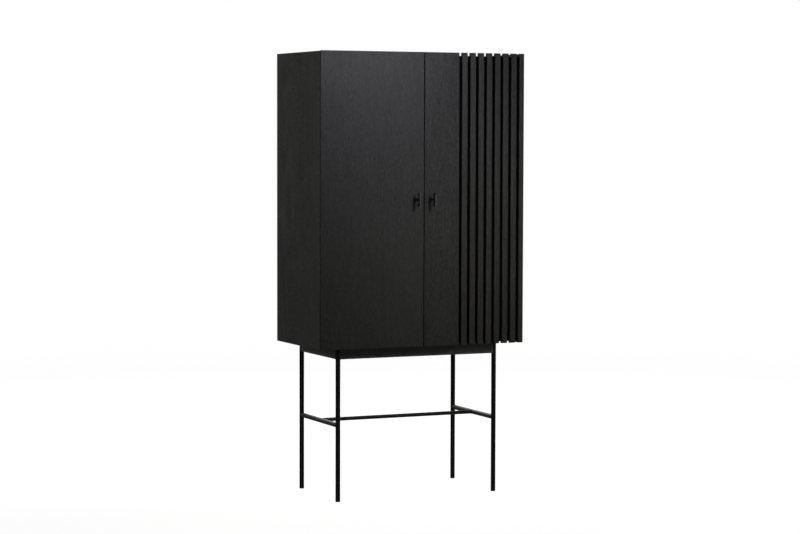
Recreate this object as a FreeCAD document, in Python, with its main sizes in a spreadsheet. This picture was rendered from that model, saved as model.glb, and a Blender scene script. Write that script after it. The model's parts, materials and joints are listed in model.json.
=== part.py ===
import FreeCAD, Part
import os
import re
import Sketcher

# Bar armoire: a case with two doors on a raised steel frame.
# Millimetres, +Z up, the doors face -Y, origin on the floor under the middle of the outer box.

SIZES = {
    # Case
    "case_width": 800,
    "case_height": 1050,
    "case_depth": 385,
    "base_height": 550,
    "panel_thick": 18,
    "top_recess": 9,
    "bottom_recess": 5,
    "back_thick": 5,
    "rabbet_depth": 9,
    "edge_ease": 1,
    "glue_gap": 0.1,
    "dowel_radius": 4,
    "dowel_depth": 11,
    "dowel_inset": 50,
    # Inside
    "shelf_thick": 18,
    "shelf_setback": 20,
    "shelf_side_gap": 0.8,
    "bottle_bay": 342,
    "middle_bay": 329,
    "pin_radius": 2.5,
    "pin_hole_depth": 10,
    "pin_reach": 9,
    "pin_inset": 60,
    "pin_pitch": 32,
    "wall_rail_thick": 18,
    "wall_rail_height": 70,
    "wall_hole_spacing": 600,
    "wall_hole_radius": 4,
    "stem_slot": 24,
    "stem_strip_width": 80,
    "stem_strip_thick": 8,
    "stem_strip_nose": 14,
    "stem_spacer_width": 24,
    "stem_spacer_height": 30,
    "stem_setback": 24,
    # Doors
    "door_gap": 2.5,
    "meeting_gap": 3,
    "door_panel_thick": 18,
    "front_thick": 11,
    "front_proud": 1.5,
    "panel_margin": 1.1,
    "inset_gap": 1.2,
    "mitre_tip": 2,
    "tip_ease": 0.4,
    "slat_width": 22,
    "slat_gap": 11,
    "edge_slat_width": 19.5,
    "arris": 0.8,
    # Knobs
    "knob_offset": 30.5,
    "knob_standoff": 25,
    "knob_bar_radius": 5,
    "knob_bar_length": 50,
    "knob_bar_ease": 1,
    "knob_stem_radius": 3.5,
    "knob_foot_radius": 6,
    "knob_foot_thick": 2,
    "knob_screw_radius": 2,
    "knob_screw_bite": 12,
    "knob_head_radius": 4,
    "knob_head_thick": 2.6,
    "screw_clearance": 0.2,
    # Continuous hinges
    "hinge_pin_radius": 0.9,
    "hinge_pin_play": 0.05,
    "hinge_end_gap": 2,
    "knuckle_radius": 1.6,
    "knuckle_clearance": 0.1,
    "knuckle_cover": 0.2,
    "knuckle_gap": 0.3,
    "leaf_thick": 0.6,
    "leaf_width": 18,
    "hinge_screw_place": 12,
    "hinge_screw_inset": 40,
    "hinge_screw_radius": 1.2,
    "hinge_screw_length": 8,
    "hinge_head_radius": 2.4,
    "hinge_head_thick": 1.3,
    # Catches
    "catch_offset": 45,
    "catch_width": 36,
    "catch_height": 14,
    "catch_depth": 16,
    "catch_clearance": 0.2,
    "strike_width": 30,
    "strike_height": 12,
    "strike_thick": 1.5,
    # Base frame
    "leg_inset_across": 90,
    "leg_inset_front": 25,
    "leg_inset_back": 20,
    "leg_radius": 8.6,
    "tube_wall": 2,
    "apron_height": 45,
    "apron_thick": 15,
    "apron_round": 2,
    "stretcher_height": 274,
    "long_stretcher_radius": 6.85,
    "weld_gap": 0.1,
    "glide_thick": 5,
    "glide_plug": 15,
    "glide_ease": 1.2,
    "tab_reach": 46,
    "tab_nose": 14,
    "tab_thick": 3,
    "tab_hole_inset": 18,
    "frame_screw_radius": 2.5,
    "frame_screw_bite": 12,
    "frame_head_radius": 5,
    "frame_head_thick": 3.5,
}

SLATS = 8
STEM_SLOTS = 4
PIN_HOLES = 5
KNUCKLES = 21
HINGE_SCREWS = 6
SIDES = {"left": -1, "right": 1}
HOLDERS = {"case": 1, "door": -1}
FULL_TURN = 360
SAME_PLACE = 0.01

# Places worked out from the sizes.
KNOB_REACH = "(knob_standoff + knob_bar_radius)"
DOOR_THICK = "(front_thick + door_panel_thick)"
FRONT = f"(({KNOB_REACH} - {DOOR_THICK} - door_gap - case_depth) / 2)"
DOOR_FACE = f"({FRONT} + front_thick)"
DOOR_BACK = f"({FRONT} + {DOOR_THICK})"
CASE_FRONT = f"({DOOR_BACK} + door_gap)"
CASE_BACK = f"({CASE_FRONT} + case_depth)"
BACK_FACE = f"({CASE_BACK} - back_thick)"
CASE_TOP = "(base_height + case_height)"
ROOF = f"({CASE_TOP} - top_recess)"
CEILING = f"({ROOF} - panel_thick)"
UNDERSIDE = "(base_height + bottom_recess)"
CASE_FLOOR = f"({UNDERSIDE} + panel_thick)"
HALF_WIDTH = "(case_width / 2)"
HALF_INSIDE = f"({HALF_WIDTH} - panel_thick)"
DOOR_WIDTH = f"({HALF_WIDTH} - meeting_gap / 2)"
FRONT_HEIGHT = "(case_height + front_proud)"
BOARD_WIDTH = f"({DOOR_WIDTH} - {SLATS} * slat_gap - {SLATS - 1} * slat_width - edge_slat_width)"
LOWER_SHELF = f"({CASE_FLOOR} + bottle_bay)"
UPPER_SHELF = f"({LOWER_SHELF} + shelf_thick + middle_bay)"
KNOB_LEVEL = f"(base_height + {FRONT_HEIGHT} / 2)"
PANEL_EDGE = "(panel_thick + inset_gap)"
LEAF_SEAT = "(knuckle_radius + knuckle_clearance)"
MITRE_GAP = f"(2 * {LEAF_SEAT} * sqrt(2))"
MITRE = f"({FRONT} + mitre_tip + {MITRE_GAP})"
HINGE_INSET = "(knuckle_radius + knuckle_cover)"
HINGE_ACROSS = f"({HALF_WIDTH} - {HINGE_INSET})"
HINGE_DEEP = f"({MITRE} - {MITRE_GAP} / 2 + {HINGE_INSET})"
HINGE_LOW = "(base_height + hinge_end_gap)"
HINGE_LENGTH = "(case_height - 2 * hinge_end_gap)"
STRIKE_LEVEL = f"({CEILING} - catch_height / 2)"
LEG_ACROSS = f"({HALF_WIDTH} - leg_inset_across)"
LEG_FRONT = f"({CASE_FRONT} + leg_inset_front)"
LEG_BACK = f"({CASE_BACK} - leg_inset_back)"
LEG_MIDDLE = f"(({LEG_FRONT} + {LEG_BACK}) / 2)"
PIN_ROWS = (f"({CASE_FRONT} + pin_inset)", f"({BACK_FACE} - pin_inset)")
DOWEL_ROWS = (
    f"({CASE_FRONT} + dowel_inset)",
    f"(({CASE_FRONT} + {BACK_FACE}) / 2)",
    f"({BACK_FACE} - dowel_inset)",
)
CORNERS = {
    "front_left": (f"-{LEG_ACROSS}", LEG_FRONT, 1, 1),
    "front_right": (LEG_ACROSS, LEG_FRONT, -1, 1),
    "rear_left": (f"-{LEG_ACROSS}", LEG_BACK, 1, -1),
    "rear_right": (LEG_ACROSS, LEG_BACK, -1, -1),
}

TURNS = {
    "+x": FreeCAD.Rotation(FreeCAD.Vector(0, 1, 0), 90),
    "-x": FreeCAD.Rotation(FreeCAD.Vector(0, 1, 0), -90),
    "+y": FreeCAD.Rotation(FreeCAD.Vector(1, 0, 0), -90),
    "-y": FreeCAD.Rotation(FreeCAD.Vector(1, 0, 0), 90),
    "+z": FreeCAD.Rotation(),
    "-z": FreeCAD.Rotation(FreeCAD.Vector(1, 0, 0), 180),
    "left_mitre": FreeCAD.Rotation(FreeCAD.Vector(0, 0, 1), 45),
    "right_mitre": FreeCAD.Rotation(FreeCAD.Vector(0, 0, 1), 135),
}
for turn_side, turn_sign in SIDES.items():
    for turn_holder, turn_way in HOLDERS.items():
        into = FreeCAD.Vector(turn_way * turn_sign, turn_way, 0)
        TURNS[f"into_{turn_side}_{turn_holder}"] = FreeCAD.Rotation(FreeCAD.Vector(0, 0, 1), into)

doc = FreeCAD.newDocument("bar_armoire")
sheet = doc.addObject("Spreadsheet::Sheet", "Sizes")
pieces = {}
hinge_holes = {}


def fill_sheet():
    """Write each driving dimension into the sheet under its alias."""
    for row, (alias, value) in enumerate(SIZES.items(), start=1):
        sheet.set(f"A{row}", alias)
        sheet.set(f"B{row}", str(value))
        sheet.setAlias(f"B{row}", alias)
    doc.recompute()


def linked(expression):
    """Return the expression with every size name pointed at its cell in the sheet."""
    def cell(match):
        word = match.group()
        return f"Sizes.{word}" if word in SIZES else word
    return re.sub(r"[a-z_]+", cell, str(expression))


def size(expression):
    """Return what an expression comes to at the present sizes."""
    return float(sheet.evalExpression(linked(expression)))


def place(item, at, points="+z"):
    """Turn an object's own +Z to the way it points and tie its base to the sheet."""
    item.Placement = FreeCAD.Placement(FreeCAD.Vector(), TURNS[points])
    for axis, expression in zip("xyz", at):
        item.setExpression(f"Placement.Base.{axis}", linked(expression))


def piece(item, name):
    """Register an object as a sub-part under its own name."""
    item.Label = name
    pieces[name] = item
    return item


def block(name, low, extent):
    """Make a rectangular block from its lowest corner and its edge lengths."""
    item = doc.addObject("Part::Box", name)
    for edge, expression in zip(("Length", "Width", "Height"), extent):
        item.setExpression(edge, linked(expression))
    place(item, low)
    return item


def rod(name, start, points, radius, length):
    """Make a cylinder that starts at a point and runs the way it points."""
    item = doc.addObject("Part::Cylinder", name)
    item.setExpression("Radius", linked(radius))
    item.setExpression("Height", linked(length))
    place(item, start, points)
    return item


def joined(name, items):
    """Fuse solids that touch or overlap into one."""
    item = doc.addObject("Part::MultiFuse", name)
    item.Shapes = items
    return item


def together(name, items):
    """Gather separate solids in one object."""
    item = doc.addObject("Part::Compound", name)
    item.Links = items
    return item


def drilled(name, base, tools):
    """Cut a set of separate tools out of a base."""
    item = doc.addObject("Part::Cut", name)
    item.Base = base
    item.Tool = together(f"{name}_tools", tools)
    return item


def new_sketch(body, role, name):
    """Start a sketch on one of the body's own origin planes."""
    sketch = body.newObject("Sketcher::SketchObject", name)
    plane = next(item for item in body.Origin.OriginFeatures if item.Role == role)
    sketch.AttachmentSupport = (plane, [""])
    sketch.MapMode = "FlatFace"
    return sketch


def tie(sketch, constraint, name, expression):
    """Add a constraint and bind its value to the sheet."""
    index = sketch.addConstraint(constraint)
    sketch.renameConstraint(index, name)
    sketch.setExpression(f"Constraints.{name}", linked(expression))


def draw_outline(sketch, outline):
    """Draw a closed outline of straight edges through corners given as size expressions."""
    first = sketch.GeometryCount
    count = len(outline)
    corners = [FreeCAD.Vector(size(across), size(up), 0) for across, up in outline]
    for index, corner in enumerate(corners):
        sketch.addGeometry(Part.LineSegment(corner, corners[(index + 1) % count]), False)
    for index in range(count):
        following = first + (index + 1) % count
        sketch.addConstraint(Sketcher.Constraint("Coincident", first + index, 2, following, 1))
    for index, (across, up) in enumerate(outline):
        edge = first + index
        corner = corners[index]
        tie(sketch, Sketcher.Constraint("DistanceX", -1, 1, edge, 1, corner.x), f"across{edge}", across)
        tie(sketch, Sketcher.Constraint("DistanceY", -1, 1, edge, 1, corner.y), f"up{edge}", up)


def draw_circle(sketch, across, up, radius):
    """Draw a circle whose centre and radius are size expressions."""
    centre = FreeCAD.Vector(size(across), size(up), 0)
    circle = Part.Circle(centre, FreeCAD.Vector(0, 0, 1), size(radius))
    edge = sketch.addGeometry(circle, False)
    tie(sketch, Sketcher.Constraint("DistanceX", -1, 1, edge, 3, centre.x), f"across{edge}", across)
    tie(sketch, Sketcher.Constraint("DistanceY", -1, 1, edge, 3, centre.y), f"up{edge}", up)
    tie(sketch, Sketcher.Constraint("Radius", edge, size(radius)), f"radius{edge}", radius)


def padded(name, outlines, circles, length, at, points="+z"):
    """Pad a plan of outlines and round holes along the way the body points."""
    body = doc.addObject("PartDesign::Body", name)
    sketch = new_sketch(body, "XY_Plane", f"{name}_plan")
    for outline in outlines:
        draw_outline(sketch, outline)
    for circle in circles:
        draw_circle(sketch, *circle)
    pad = body.newObject("PartDesign::Pad", f"{name}_pad")
    pad.Profile = sketch
    pad.setExpression("Length", linked(length))
    place(body, at, points)
    doc.recompute()
    return body


def turned(name, profile, at, points="+z"):
    """Revolve a profile of (radius, height) corners about the way the body points."""
    body = doc.addObject("PartDesign::Body", name)
    sketch = new_sketch(body, "XZ_Plane", f"{name}_profile")
    draw_outline(sketch, profile)
    turn = body.newObject("PartDesign::Revolution", f"{name}_turn")
    turn.Profile = sketch
    turn.ReferenceAxis = (sketch, ["V_Axis"])
    turn.Angle = FULL_TURN
    place(body, at, points)
    return body


def rectangle(low_across, low_up, high_across, high_up):
    """Return the four corners of a rectangle."""
    return [(low_across, low_up), (high_across, low_up), (high_across, high_up), (low_across, high_up)]


def dress(body, kind, edges, amount, sizing):
    """Add a fillet or chamfer to the body's tip on the edges or faces named."""
    base = body.Tip
    feature = body.newObject(f"PartDesign::{kind}", f"{body.Name}_{kind.lower()}")
    feature.Base = (base, edges)
    feature.setExpression(sizing, linked(amount))
    doc.recompute()


def upright_edges(body, wanted):
    """Name the edges of the body's tip that run along its own Z and stand where wanted."""
    names = []
    for index, edge in enumerate(body.Tip.Shape.Edges, start=1):
        box = edge.BoundBox
        straight = box.XLength + box.YLength < SAME_PLACE
        if straight and wanted(box.Center):
            names.append(f"Edge{index}")
    return names


def front_face(body):
    """Name the face of the body's tip that looks along its own -Y."""
    for index, face in enumerate(body.Tip.Shape.Faces, start=1):
        if face.normalAt(0, 0).y < SAME_PLACE - 1:
            return f"Face{index}"
    raise RuntimeError(f"{body.Name} has no front face")


def side_panel(side, sign):
    """Side of the case: a mitred front edge, a rabbet for the back, holes for pins, dowels and screws."""
    name = f"{side}_side_panel"
    outer = f"{sign} * panel_thick"
    shoulder = f"{sign} * rabbet_depth"
    eased = f"{sign} * (panel_thick - edge_ease)"
    mitre = f"({MITRE} - {CASE_FRONT})"
    plan = [
        ("0", f"{mitre} + panel_thick"), (f"{sign} * (panel_thick - tip_ease)", f"{mitre} + tip_ease"),
        (outer, f"{mitre} + 2 * tip_ease"), (outer, "case_depth - edge_ease"), (eased, "case_depth"),
        (shoulder, "case_depth"), (shoulder, "case_depth - back_thick"), ("0", "case_depth - back_thick"),
    ]
    inner = f"{sign} * {HALF_INSIDE}"
    panel = padded(f"{name}_board", [plan], [], "case_height", (inner, CASE_FRONT, "base_height"))
    outwards = "+x" if sign > 0 else "-x"
    tools = list(hinge_holes[side, "case"])
    for shelf, level in (("lower", LOWER_SHELF), ("upper", UPPER_SHELF)):
        for row, deep in enumerate(PIN_ROWS):
            for step in range(PIN_HOLES):
                lift = step - PIN_HOLES // 2
                height = f"{level} - pin_radius + {lift} * pin_pitch"
                tools.append(rod(f"{name}_{shelf}_hole_{row}_{step}", (inner, deep, height), outwards,
                                 "pin_radius + glue_gap", "pin_hole_depth"))
    for level_name, level in (("top", f"({ROOF} - panel_thick / 2)"),
                              ("bottom", f"({UNDERSIDE} + panel_thick / 2)")):
        for row, deep in enumerate(DOWEL_ROWS):
            tools.append(rod(f"{name}_{level_name}_dowel_{row}", (inner, deep, level), outwards,
                             "dowel_radius + glue_gap", "dowel_depth"))
    piece(drilled(name, panel, tools), name)


def level_panel(name, underside, extra_tools):
    """Top or bottom of the case, between the sides and in front of the back."""
    board = block(f"{name}_board", (f"-{HALF_INSIDE}", CASE_FRONT, underside),
                  (f"2 * {HALF_INSIDE}", "case_depth - back_thick", "panel_thick"))
    tools = list(extra_tools)
    middle = f"({underside} + panel_thick / 2)"
    for side, sign in SIDES.items():
        inwards = "-x" if sign > 0 else "+x"
        for row, deep in enumerate(DOWEL_ROWS):
            tools.append(rod(f"{name}_{side}_dowel_{row}", (f"{sign} * {HALF_INSIDE}", deep, middle), inwards,
                             "dowel_radius + glue_gap", "2 * dowel_depth"))
    piece(drilled(name, board, tools), name)


def tab_hole(corner):
    """Return where the screw of one corner tab stands."""
    across, deep, turn_across, turn_deep = CORNERS[corner]
    inset = "(apron_thick / 2 + weld_gap + tab_hole_inset)"
    return f"{across} + {turn_across} * {inset}", f"{deep} + {turn_deep} * {inset}"


def case_panels():
    """Sides, top, bottom and back of the case, with their dowels and the rail for a wall."""
    for side, sign in SIDES.items():
        side_panel(side, sign)
    level_panel("top_panel", CEILING, [])
    frame_holes = []
    for corner in CORNERS:
        across, deep = tab_hole(corner)
        frame_holes.append(rod(f"bottom_{corner}_hole", (across, deep, UNDERSIDE), "+z",
                               "frame_screw_radius + glue_gap", "frame_screw_bite + glue_gap"))
    level_panel("bottom_panel", UNDERSIDE, frame_holes)

    half_back = f"({HALF_INSIDE} + rabbet_depth - glue_gap)"
    back = block("back_board", (f"-{half_back}", BACK_FACE, "base_height"),
                 (f"2 * {half_back}", "back_thick", "case_height"))
    rail_face = f"({BACK_FACE} - wall_rail_thick)"
    rail = block("wall_rail_board", (f"-{HALF_INSIDE}", rail_face, f"{CEILING} - wall_rail_height"),
                 (f"2 * {HALF_INSIDE}", "wall_rail_thick", "wall_rail_height"))
    hole_level = f"{CEILING} - wall_rail_height / 2"
    for name, board, start, length in (
            ("back_panel", back, BACK_FACE, "back_thick"),
            ("wall_fixing_rail", rail, rail_face, "wall_rail_thick")):
        tools = [rod(f"{name}_{side}_hole", (f"{sign} * wall_hole_spacing / 2", start, hole_level),
                     "+y", "wall_hole_radius", length) for side, sign in SIDES.items()]
        piece(drilled(name, board, tools), name)

    dowels = []
    for level_name, level in (("top", f"({ROOF} - panel_thick / 2)"),
                              ("bottom", f"({UNDERSIDE} + panel_thick / 2)")):
        for side, sign in SIDES.items():
            outwards = "+x" if sign > 0 else "-x"
            start = f"{sign} * ({HALF_INSIDE} - 2 * dowel_depth + glue_gap)"
            for row, deep in enumerate(DOWEL_ROWS):
                dowels.append(rod(f"dowel_{level_name}_{side}_{row}", (start, deep, level), outwards,
                                  "dowel_radius", "3 * dowel_depth - 2 * glue_gap"))
    piece(together("panel_dowels", dowels), "panel_dowels")


def shelves():
    """Two shelves, each on four pins."""
    half_shelf = f"({HALF_INSIDE} - shelf_side_gap)"
    pins = []
    for shelf, level in (("lower", LOWER_SHELF), ("upper", UPPER_SHELF)):
        front = f"({CASE_FRONT} + shelf_setback)"
        name = f"{shelf}_shelf"
        piece(block(name, (f"-{half_shelf}", front, level),
                    (f"2 * {half_shelf}", f"{BACK_FACE} - {front} - shelf_side_gap", "shelf_thick")), name)
        for side, sign in SIDES.items():
            outwards = "+x" if sign > 0 else "-x"
            for row, deep in enumerate(PIN_ROWS):
                start = (f"{sign} * ({HALF_INSIDE} - pin_reach)", deep, f"{level} - pin_radius")
                pins.append(rod(f"pin_{shelf}_{side}_{row}", start, outwards, "pin_radius",
                                "pin_reach + pin_hole_depth - glue_gap"))
    piece(together("shelf_pins", pins), "shelf_pins")


def stemware_rack():
    """Rows of T-shaped runners under the top panel, each a spacer and a strip with a tapered nose."""
    front = f"({CASE_FRONT} + stem_setback)"
    run = f"({BACK_FACE} - wall_rail_thick - {front})"
    spacers = []
    strips = []
    for index in range(STEM_SLOTS + 1):
        middle = f"({index - STEM_SLOTS / 2} * (stem_strip_width + stem_slot))"
        spacers.append(block(f"stem_spacer_{index}",
                             (f"{middle} - stem_spacer_width / 2", front, f"{CEILING} - stem_spacer_height"),
                             ("stem_spacer_width", run, "stem_spacer_height")))
        half = "stem_strip_width / 2"
        plan = [
            (f"stem_strip_nose - {half}", "0"), (f"{half} - stem_strip_nose", "0"), (half, "stem_strip_nose"),
            (half, run), (f"-{half}", run), (f"-{half}", "stem_strip_nose"),
        ]
        strips.append(padded(f"stem_strip_{index}", [plan], [], "stem_strip_thick",
                             (middle, front, f"{CEILING} - stem_spacer_height - stem_strip_thick")))
    piece(together("stemware_spacers", spacers), "stemware_spacers")
    piece(together("stemware_strips", strips), "stemware_strips")


def front_board(name, plan, at):
    """Upright board or slat of a door front, its face edges eased."""
    body = padded(name, [plan], [], FRONT_HEIGHT, at)
    dress(body, "Chamfer", [front_face(body)], "arris", "Size")
    return body


def mitred_board(name, sign, width):
    """Front board or slat at the hinge, its outer edge mitred behind a blunt tip."""
    inner = f"{-sign} * ({width})"
    plan = [
        ("0", "0"), (inner, "0"), (inner, "front_thick"),
        (f"{-sign} * (front_thick - mitre_tip)", "front_thick"), ("0", "mitre_tip"),
    ]
    return front_board(f"{name}_board", plan, (f"{sign} * {HALF_WIDTH}", FRONT, "base_height"))


def door(side, sign):
    """One door: a mitred inner panel, the front board on it, the strike plate and the knob's holes."""
    knob_across = f"{sign} * knob_offset"
    panel_low = f"({UNDERSIDE} + panel_margin)"
    meeting = f"{-sign} * {DOOR_WIDTH}"
    hinge_edge = f"{-sign} * {PANEL_EDGE}"
    plan = [
        (f"{-sign} * (front_thick - mitre_tip)", "0"), (meeting, "0"), (meeting, "door_panel_thick"),
        (hinge_edge, "door_panel_thick"), (hinge_edge, f"{PANEL_EDGE} + mitre_tip - front_thick"),
    ]
    inner = padded(f"{side}_inner_board", [plan], [], f"{ROOF} - panel_margin - {panel_low}",
                   (f"{sign} * {HALF_WIDTH}", DOOR_FACE, panel_low))
    shaft_hole = "knob_screw_radius + screw_clearance"
    head_seat = "(knob_head_thick + screw_clearance)"
    knob_holes = [
        rod(f"{side}_panel_screw_hole", (knob_across, DOOR_FACE, KNOB_LEVEL), "+y", shaft_hole,
            f"door_panel_thick - {head_seat}"),
        rod(f"{side}_panel_head_hole", (knob_across, DOOR_BACK, KNOB_LEVEL), "-y",
            "knob_head_radius + screw_clearance", head_seat),
    ]
    piece(drilled(f"{side}_door_panel", inner, knob_holes + hinge_holes[side, "door"]), f"{side}_door_panel")

    front_hole = rod(f"{side}_front_screw_hole", (knob_across, FRONT, KNOB_LEVEL), "+y", shaft_hole,
                     "front_thick")
    front_holes = [front_hole]
    if sign < 0:
        board = mitred_board(f"{side}_door_front", sign, DOOR_WIDTH)
        front_holes += hinge_holes[side, "door"]
    else:
        board = front_board(f"{side}_board", rectangle("0", "0", BOARD_WIDTH, "front_thick"),
                            ("meeting_gap / 2", FRONT, "base_height"))
    piece(drilled(f"{side}_door_front", board, front_holes), f"{side}_door_front")

    strike_left = f"{sign} * catch_offset - strike_width / 2"
    strike = block(f"{side}_strike_plate", (strike_left, DOOR_BACK, f"{STRIKE_LEVEL} - strike_height / 2"),
                   ("strike_width", "strike_thick", "strike_height"))
    piece(strike, f"{side}_strike_plate")


def right_slats():
    """Upright slats of the right door, the last one mitred at the hinge."""
    for index in range(SLATS - 1):
        across = f"meeting_gap / 2 + {BOARD_WIDTH} + {index + 1} * slat_gap + {index} * slat_width"
        name = f"right_door_slat_{index + 1}"
        piece(front_board(name, rectangle("0", "0", "slat_width", "front_thick"),
                          (across, FRONT, "base_height")), name)
    name = f"right_door_slat_{SLATS}"
    board = mitred_board(name, SIDES["right"], "edge_slat_width")
    piece(drilled(name, board, hinge_holes["right", "door"]), name)


def knob(side, sign):
    """T-bar knob: a footed stem, an upright bar on it and the screw from inside the door."""
    across = f"{sign} * knob_offset"
    bar_middle = f"({FRONT} - knob_standoff)"
    seat = rod(f"{side}_knob_seat", (across, bar_middle, f"{KNOB_LEVEL} - knob_bar_length / 2"), "+z",
               "knob_bar_radius", "knob_bar_length")
    bite = rod(f"{side}_knob_bite", (across, FRONT, KNOB_LEVEL), "-y",
               "knob_screw_radius", "knob_screw_bite")
    stem = turned(f"{side}_stem_turning", [
        ("0", "0"), ("knob_foot_radius", "0"), ("knob_foot_radius", "knob_foot_thick"),
        ("knob_stem_radius", "2 * knob_foot_thick"), ("knob_stem_radius", "knob_standoff"),
        ("0", "knob_standoff"),
    ], (across, FRONT, KNOB_LEVEL), "-y")
    piece(drilled(f"{side}_knob_stem", stem, [seat, bite]), f"{side}_knob_stem")

    half = "knob_bar_length / 2"
    bar = turned(f"{side}_knob_bar", [
        ("0", f"-{half}"), ("knob_bar_radius - knob_bar_ease", f"-{half}"),
        ("knob_bar_radius", f"knob_bar_ease - {half}"), ("knob_bar_radius", f"{half} - knob_bar_ease"),
        ("knob_bar_radius - knob_bar_ease", half), ("0", half),
    ], (across, bar_middle, KNOB_LEVEL))
    piece(bar, f"{side}_knob_bar")

    shank = f"{DOOR_THICK} - screw_clearance + knob_screw_bite - glue_gap"
    screw = turned(f"{side}_knob_screw", [
        ("0", "0"), ("knob_head_radius", "0"), ("knob_head_radius", "knob_head_thick"),
        ("knob_screw_radius", "knob_head_thick"), ("knob_screw_radius", shank), ("0", shank),
    ], (across, f"{DOOR_BACK} - screw_clearance", KNOB_LEVEL), "-y")
    piece(screw, f"{side}_knob_screw")


def catches():
    """Magnetic catches under the front edge of the top panel, one for each door."""
    front = f"({CASE_FRONT} - door_gap + strike_thick + catch_clearance)"
    housings = []
    for side, sign in SIDES.items():
        low = (f"{sign} * catch_offset - catch_width / 2", front, f"{CEILING} - catch_height")
        housings.append(block(f"{side}_catch", low, ("catch_width", "catch_depth", "catch_height")))
    piece(together("magnetic_catches", housings), "magnetic_catches")


def countersunk(name, at, points, room):
    """Countersunk screw pointing into the wood, or with some room the hole that it sits in."""
    head = doc.addObject("Part::Cone", f"{name}_head")
    head.setExpression("Radius1", linked(f"hinge_head_radius + {room}"))
    head.setExpression("Radius2", linked(f"hinge_screw_radius + {room}"))
    head.setExpression("Height", linked("hinge_head_thick"))
    place(head, at, points)
    shank = rod(f"{name}_shank", at, points, f"hinge_screw_radius + {room}", f"hinge_screw_length + {room}")
    return joined(name, [head, shank])


def hinge_screw_places(sign, way):
    """Return where the screws of one hinge leaf start, on the open face of the leaf."""
    lift = f"({way} * ({LEAF_SEAT} - leaf_thick))"
    across = f"{sign} * ({HINGE_ACROSS} + ({lift} - hinge_screw_place) / sqrt(2))"
    deep = f"{HINGE_DEEP} + ({lift} + hinge_screw_place) / sqrt(2)"
    step = f"({HINGE_LENGTH} - 2 * hinge_screw_inset) / {HINGE_SCREWS - 1}"
    return [(across, deep, f"{HINGE_LOW} + hinge_screw_inset + {index} * {step}")
            for index in range(HINGE_SCREWS)]


def countersunk_row(name, side, sign, holder, room):
    """Return the row of screws, or of their holes, along one leaf of a hinge."""
    row = []
    for index, at in enumerate(hinge_screw_places(sign, HOLDERS[holder])):
        row.append(countersunk(f"{side}_{holder}_{name}_{index}", at, f"into_{side}_{holder}", room))
    return row


def hinge_leaf(side, sign, holder):
    """Leaf of a continuous hinge: a strip screwed to the mitre, every second knuckle rolled on its edge."""
    name = f"{side}_{holder}_hinge_leaf"
    axis = (f"{sign} * {HINGE_ACROSS}", HINGE_DEEP)
    mitre = f"{side}_mitre"
    towards = -sign * HOLDERS[holder]
    open_face = f"{towards} * ({LEAF_SEAT} - leaf_thick)"
    seat = f"{towards} * {LEAF_SEAT}"
    plan = rectangle("knuckle_radius + knuckle_gap", open_face, "leaf_width", seat)
    strip = padded(f"{name}_strip", [plan], [], HINGE_LENGTH, (*axis, HINGE_LOW), mitre)
    solids = [strip]
    zone = f"({HINGE_LENGTH} / {KNUCKLES})"
    tall = f"{zone} - knuckle_gap"
    first = 0 if holder == "case" else 1
    for index in range(first, KNUCKLES, 2):
        low = (*axis, f"{HINGE_LOW} + {index} * {zone} + knuckle_gap / 2")
        tongue = rectangle("0", open_face, "2 * knuckle_radius", seat)
        solids.append(padded(f"{name}_tongue_{index}", [tongue], [], tall, low, mitre))
        solids.append(rod(f"{name}_knuckle_{index}", low, "+z", "knuckle_radius", tall))
    bore = rod(f"{name}_bore", (*axis, HINGE_LOW), "+z", "hinge_pin_radius + hinge_pin_play", HINGE_LENGTH)
    leaf = joined(f"{name}_joined", solids)
    piece(drilled(name, leaf, [bore] + hinge_holes[side, holder]), name)


def hinges():
    """Continuous hinges in the mitres at the front corners: leaves, pins and screws."""
    case_screws = []
    for side, sign in SIDES.items():
        for holder in HOLDERS:
            hinge_leaf(side, sign, holder)
        axis_foot = (f"{sign} * {HINGE_ACROSS}", HINGE_DEEP, HINGE_LOW)
        name = f"{side}_hinge_pin"
        piece(rod(name, axis_foot, "+z", "hinge_pin_radius", HINGE_LENGTH), name)
        name = f"{side}_door_hinge_screws"
        piece(together(name, countersunk_row("hinge_screw", side, sign, "door", "0")), name)
        case_screws += countersunk_row("hinge_screw", side, sign, "case", "0")
    piece(together("case_hinge_screws", case_screws), "case_hinge_screws")


def drill_hinge_holes():
    """Make the screw holes that the hinge leaves share with the wood behind them."""
    for side, sign in SIDES.items():
        for holder in HOLDERS:
            hinge_holes[side, holder] = countersunk_row("hinge_hole", side, sign, holder, "glue_gap")


def leg(corner):
    """Round tube leg from its glide up to the case."""
    across, deep, _, _ = CORNERS[corner]
    name = f"{corner}_leg"
    piece(padded(name, [], [("0", "0", "leg_radius"), ("0", "0", "leg_radius - tube_wall")],
                 f"{UNDERSIDE} - glide_thick", (across, deep, "glide_thick")), name)


def leg_cutter(name, corner):
    """Round tool, a weld gap larger than a leg, that copes the end of a tube."""
    across, deep, _, _ = CORNERS[corner]
    return rod(f"{name}_{corner}_cope", (across, deep, "0"), "+z", "leg_radius + weld_gap", UNDERSIDE)


def apron(name, start, points, length, tools):
    """Rectangular tube with rounded edges, tight under the case, its ends coped to what they meet."""
    half_thick = "apron_thick / 2"
    half_height = "apron_height / 2"
    upright = points == "+x"
    wide, tall = (half_height, half_thick) if upright else (half_thick, half_height)
    outer = rectangle(f"-{wide}", f"-{tall}", wide, tall)
    inner = rectangle(f"tube_wall - {wide}", f"tube_wall - {tall}",
                      f"{wide} - tube_wall", f"{tall} - tube_wall")
    tube = padded(f"{name}_tube", [outer, inner], [], length, start, points)
    corner_reach = size(wide) + size(tall)
    outer_edges = upright_edges(tube, lambda at: abs(at.x) + abs(at.y) > corner_reach - SAME_PLACE)
    dress(tube, "Fillet", outer_edges, "apron_round", "Radius")
    piece(drilled(name, tube, tools), name)


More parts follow.
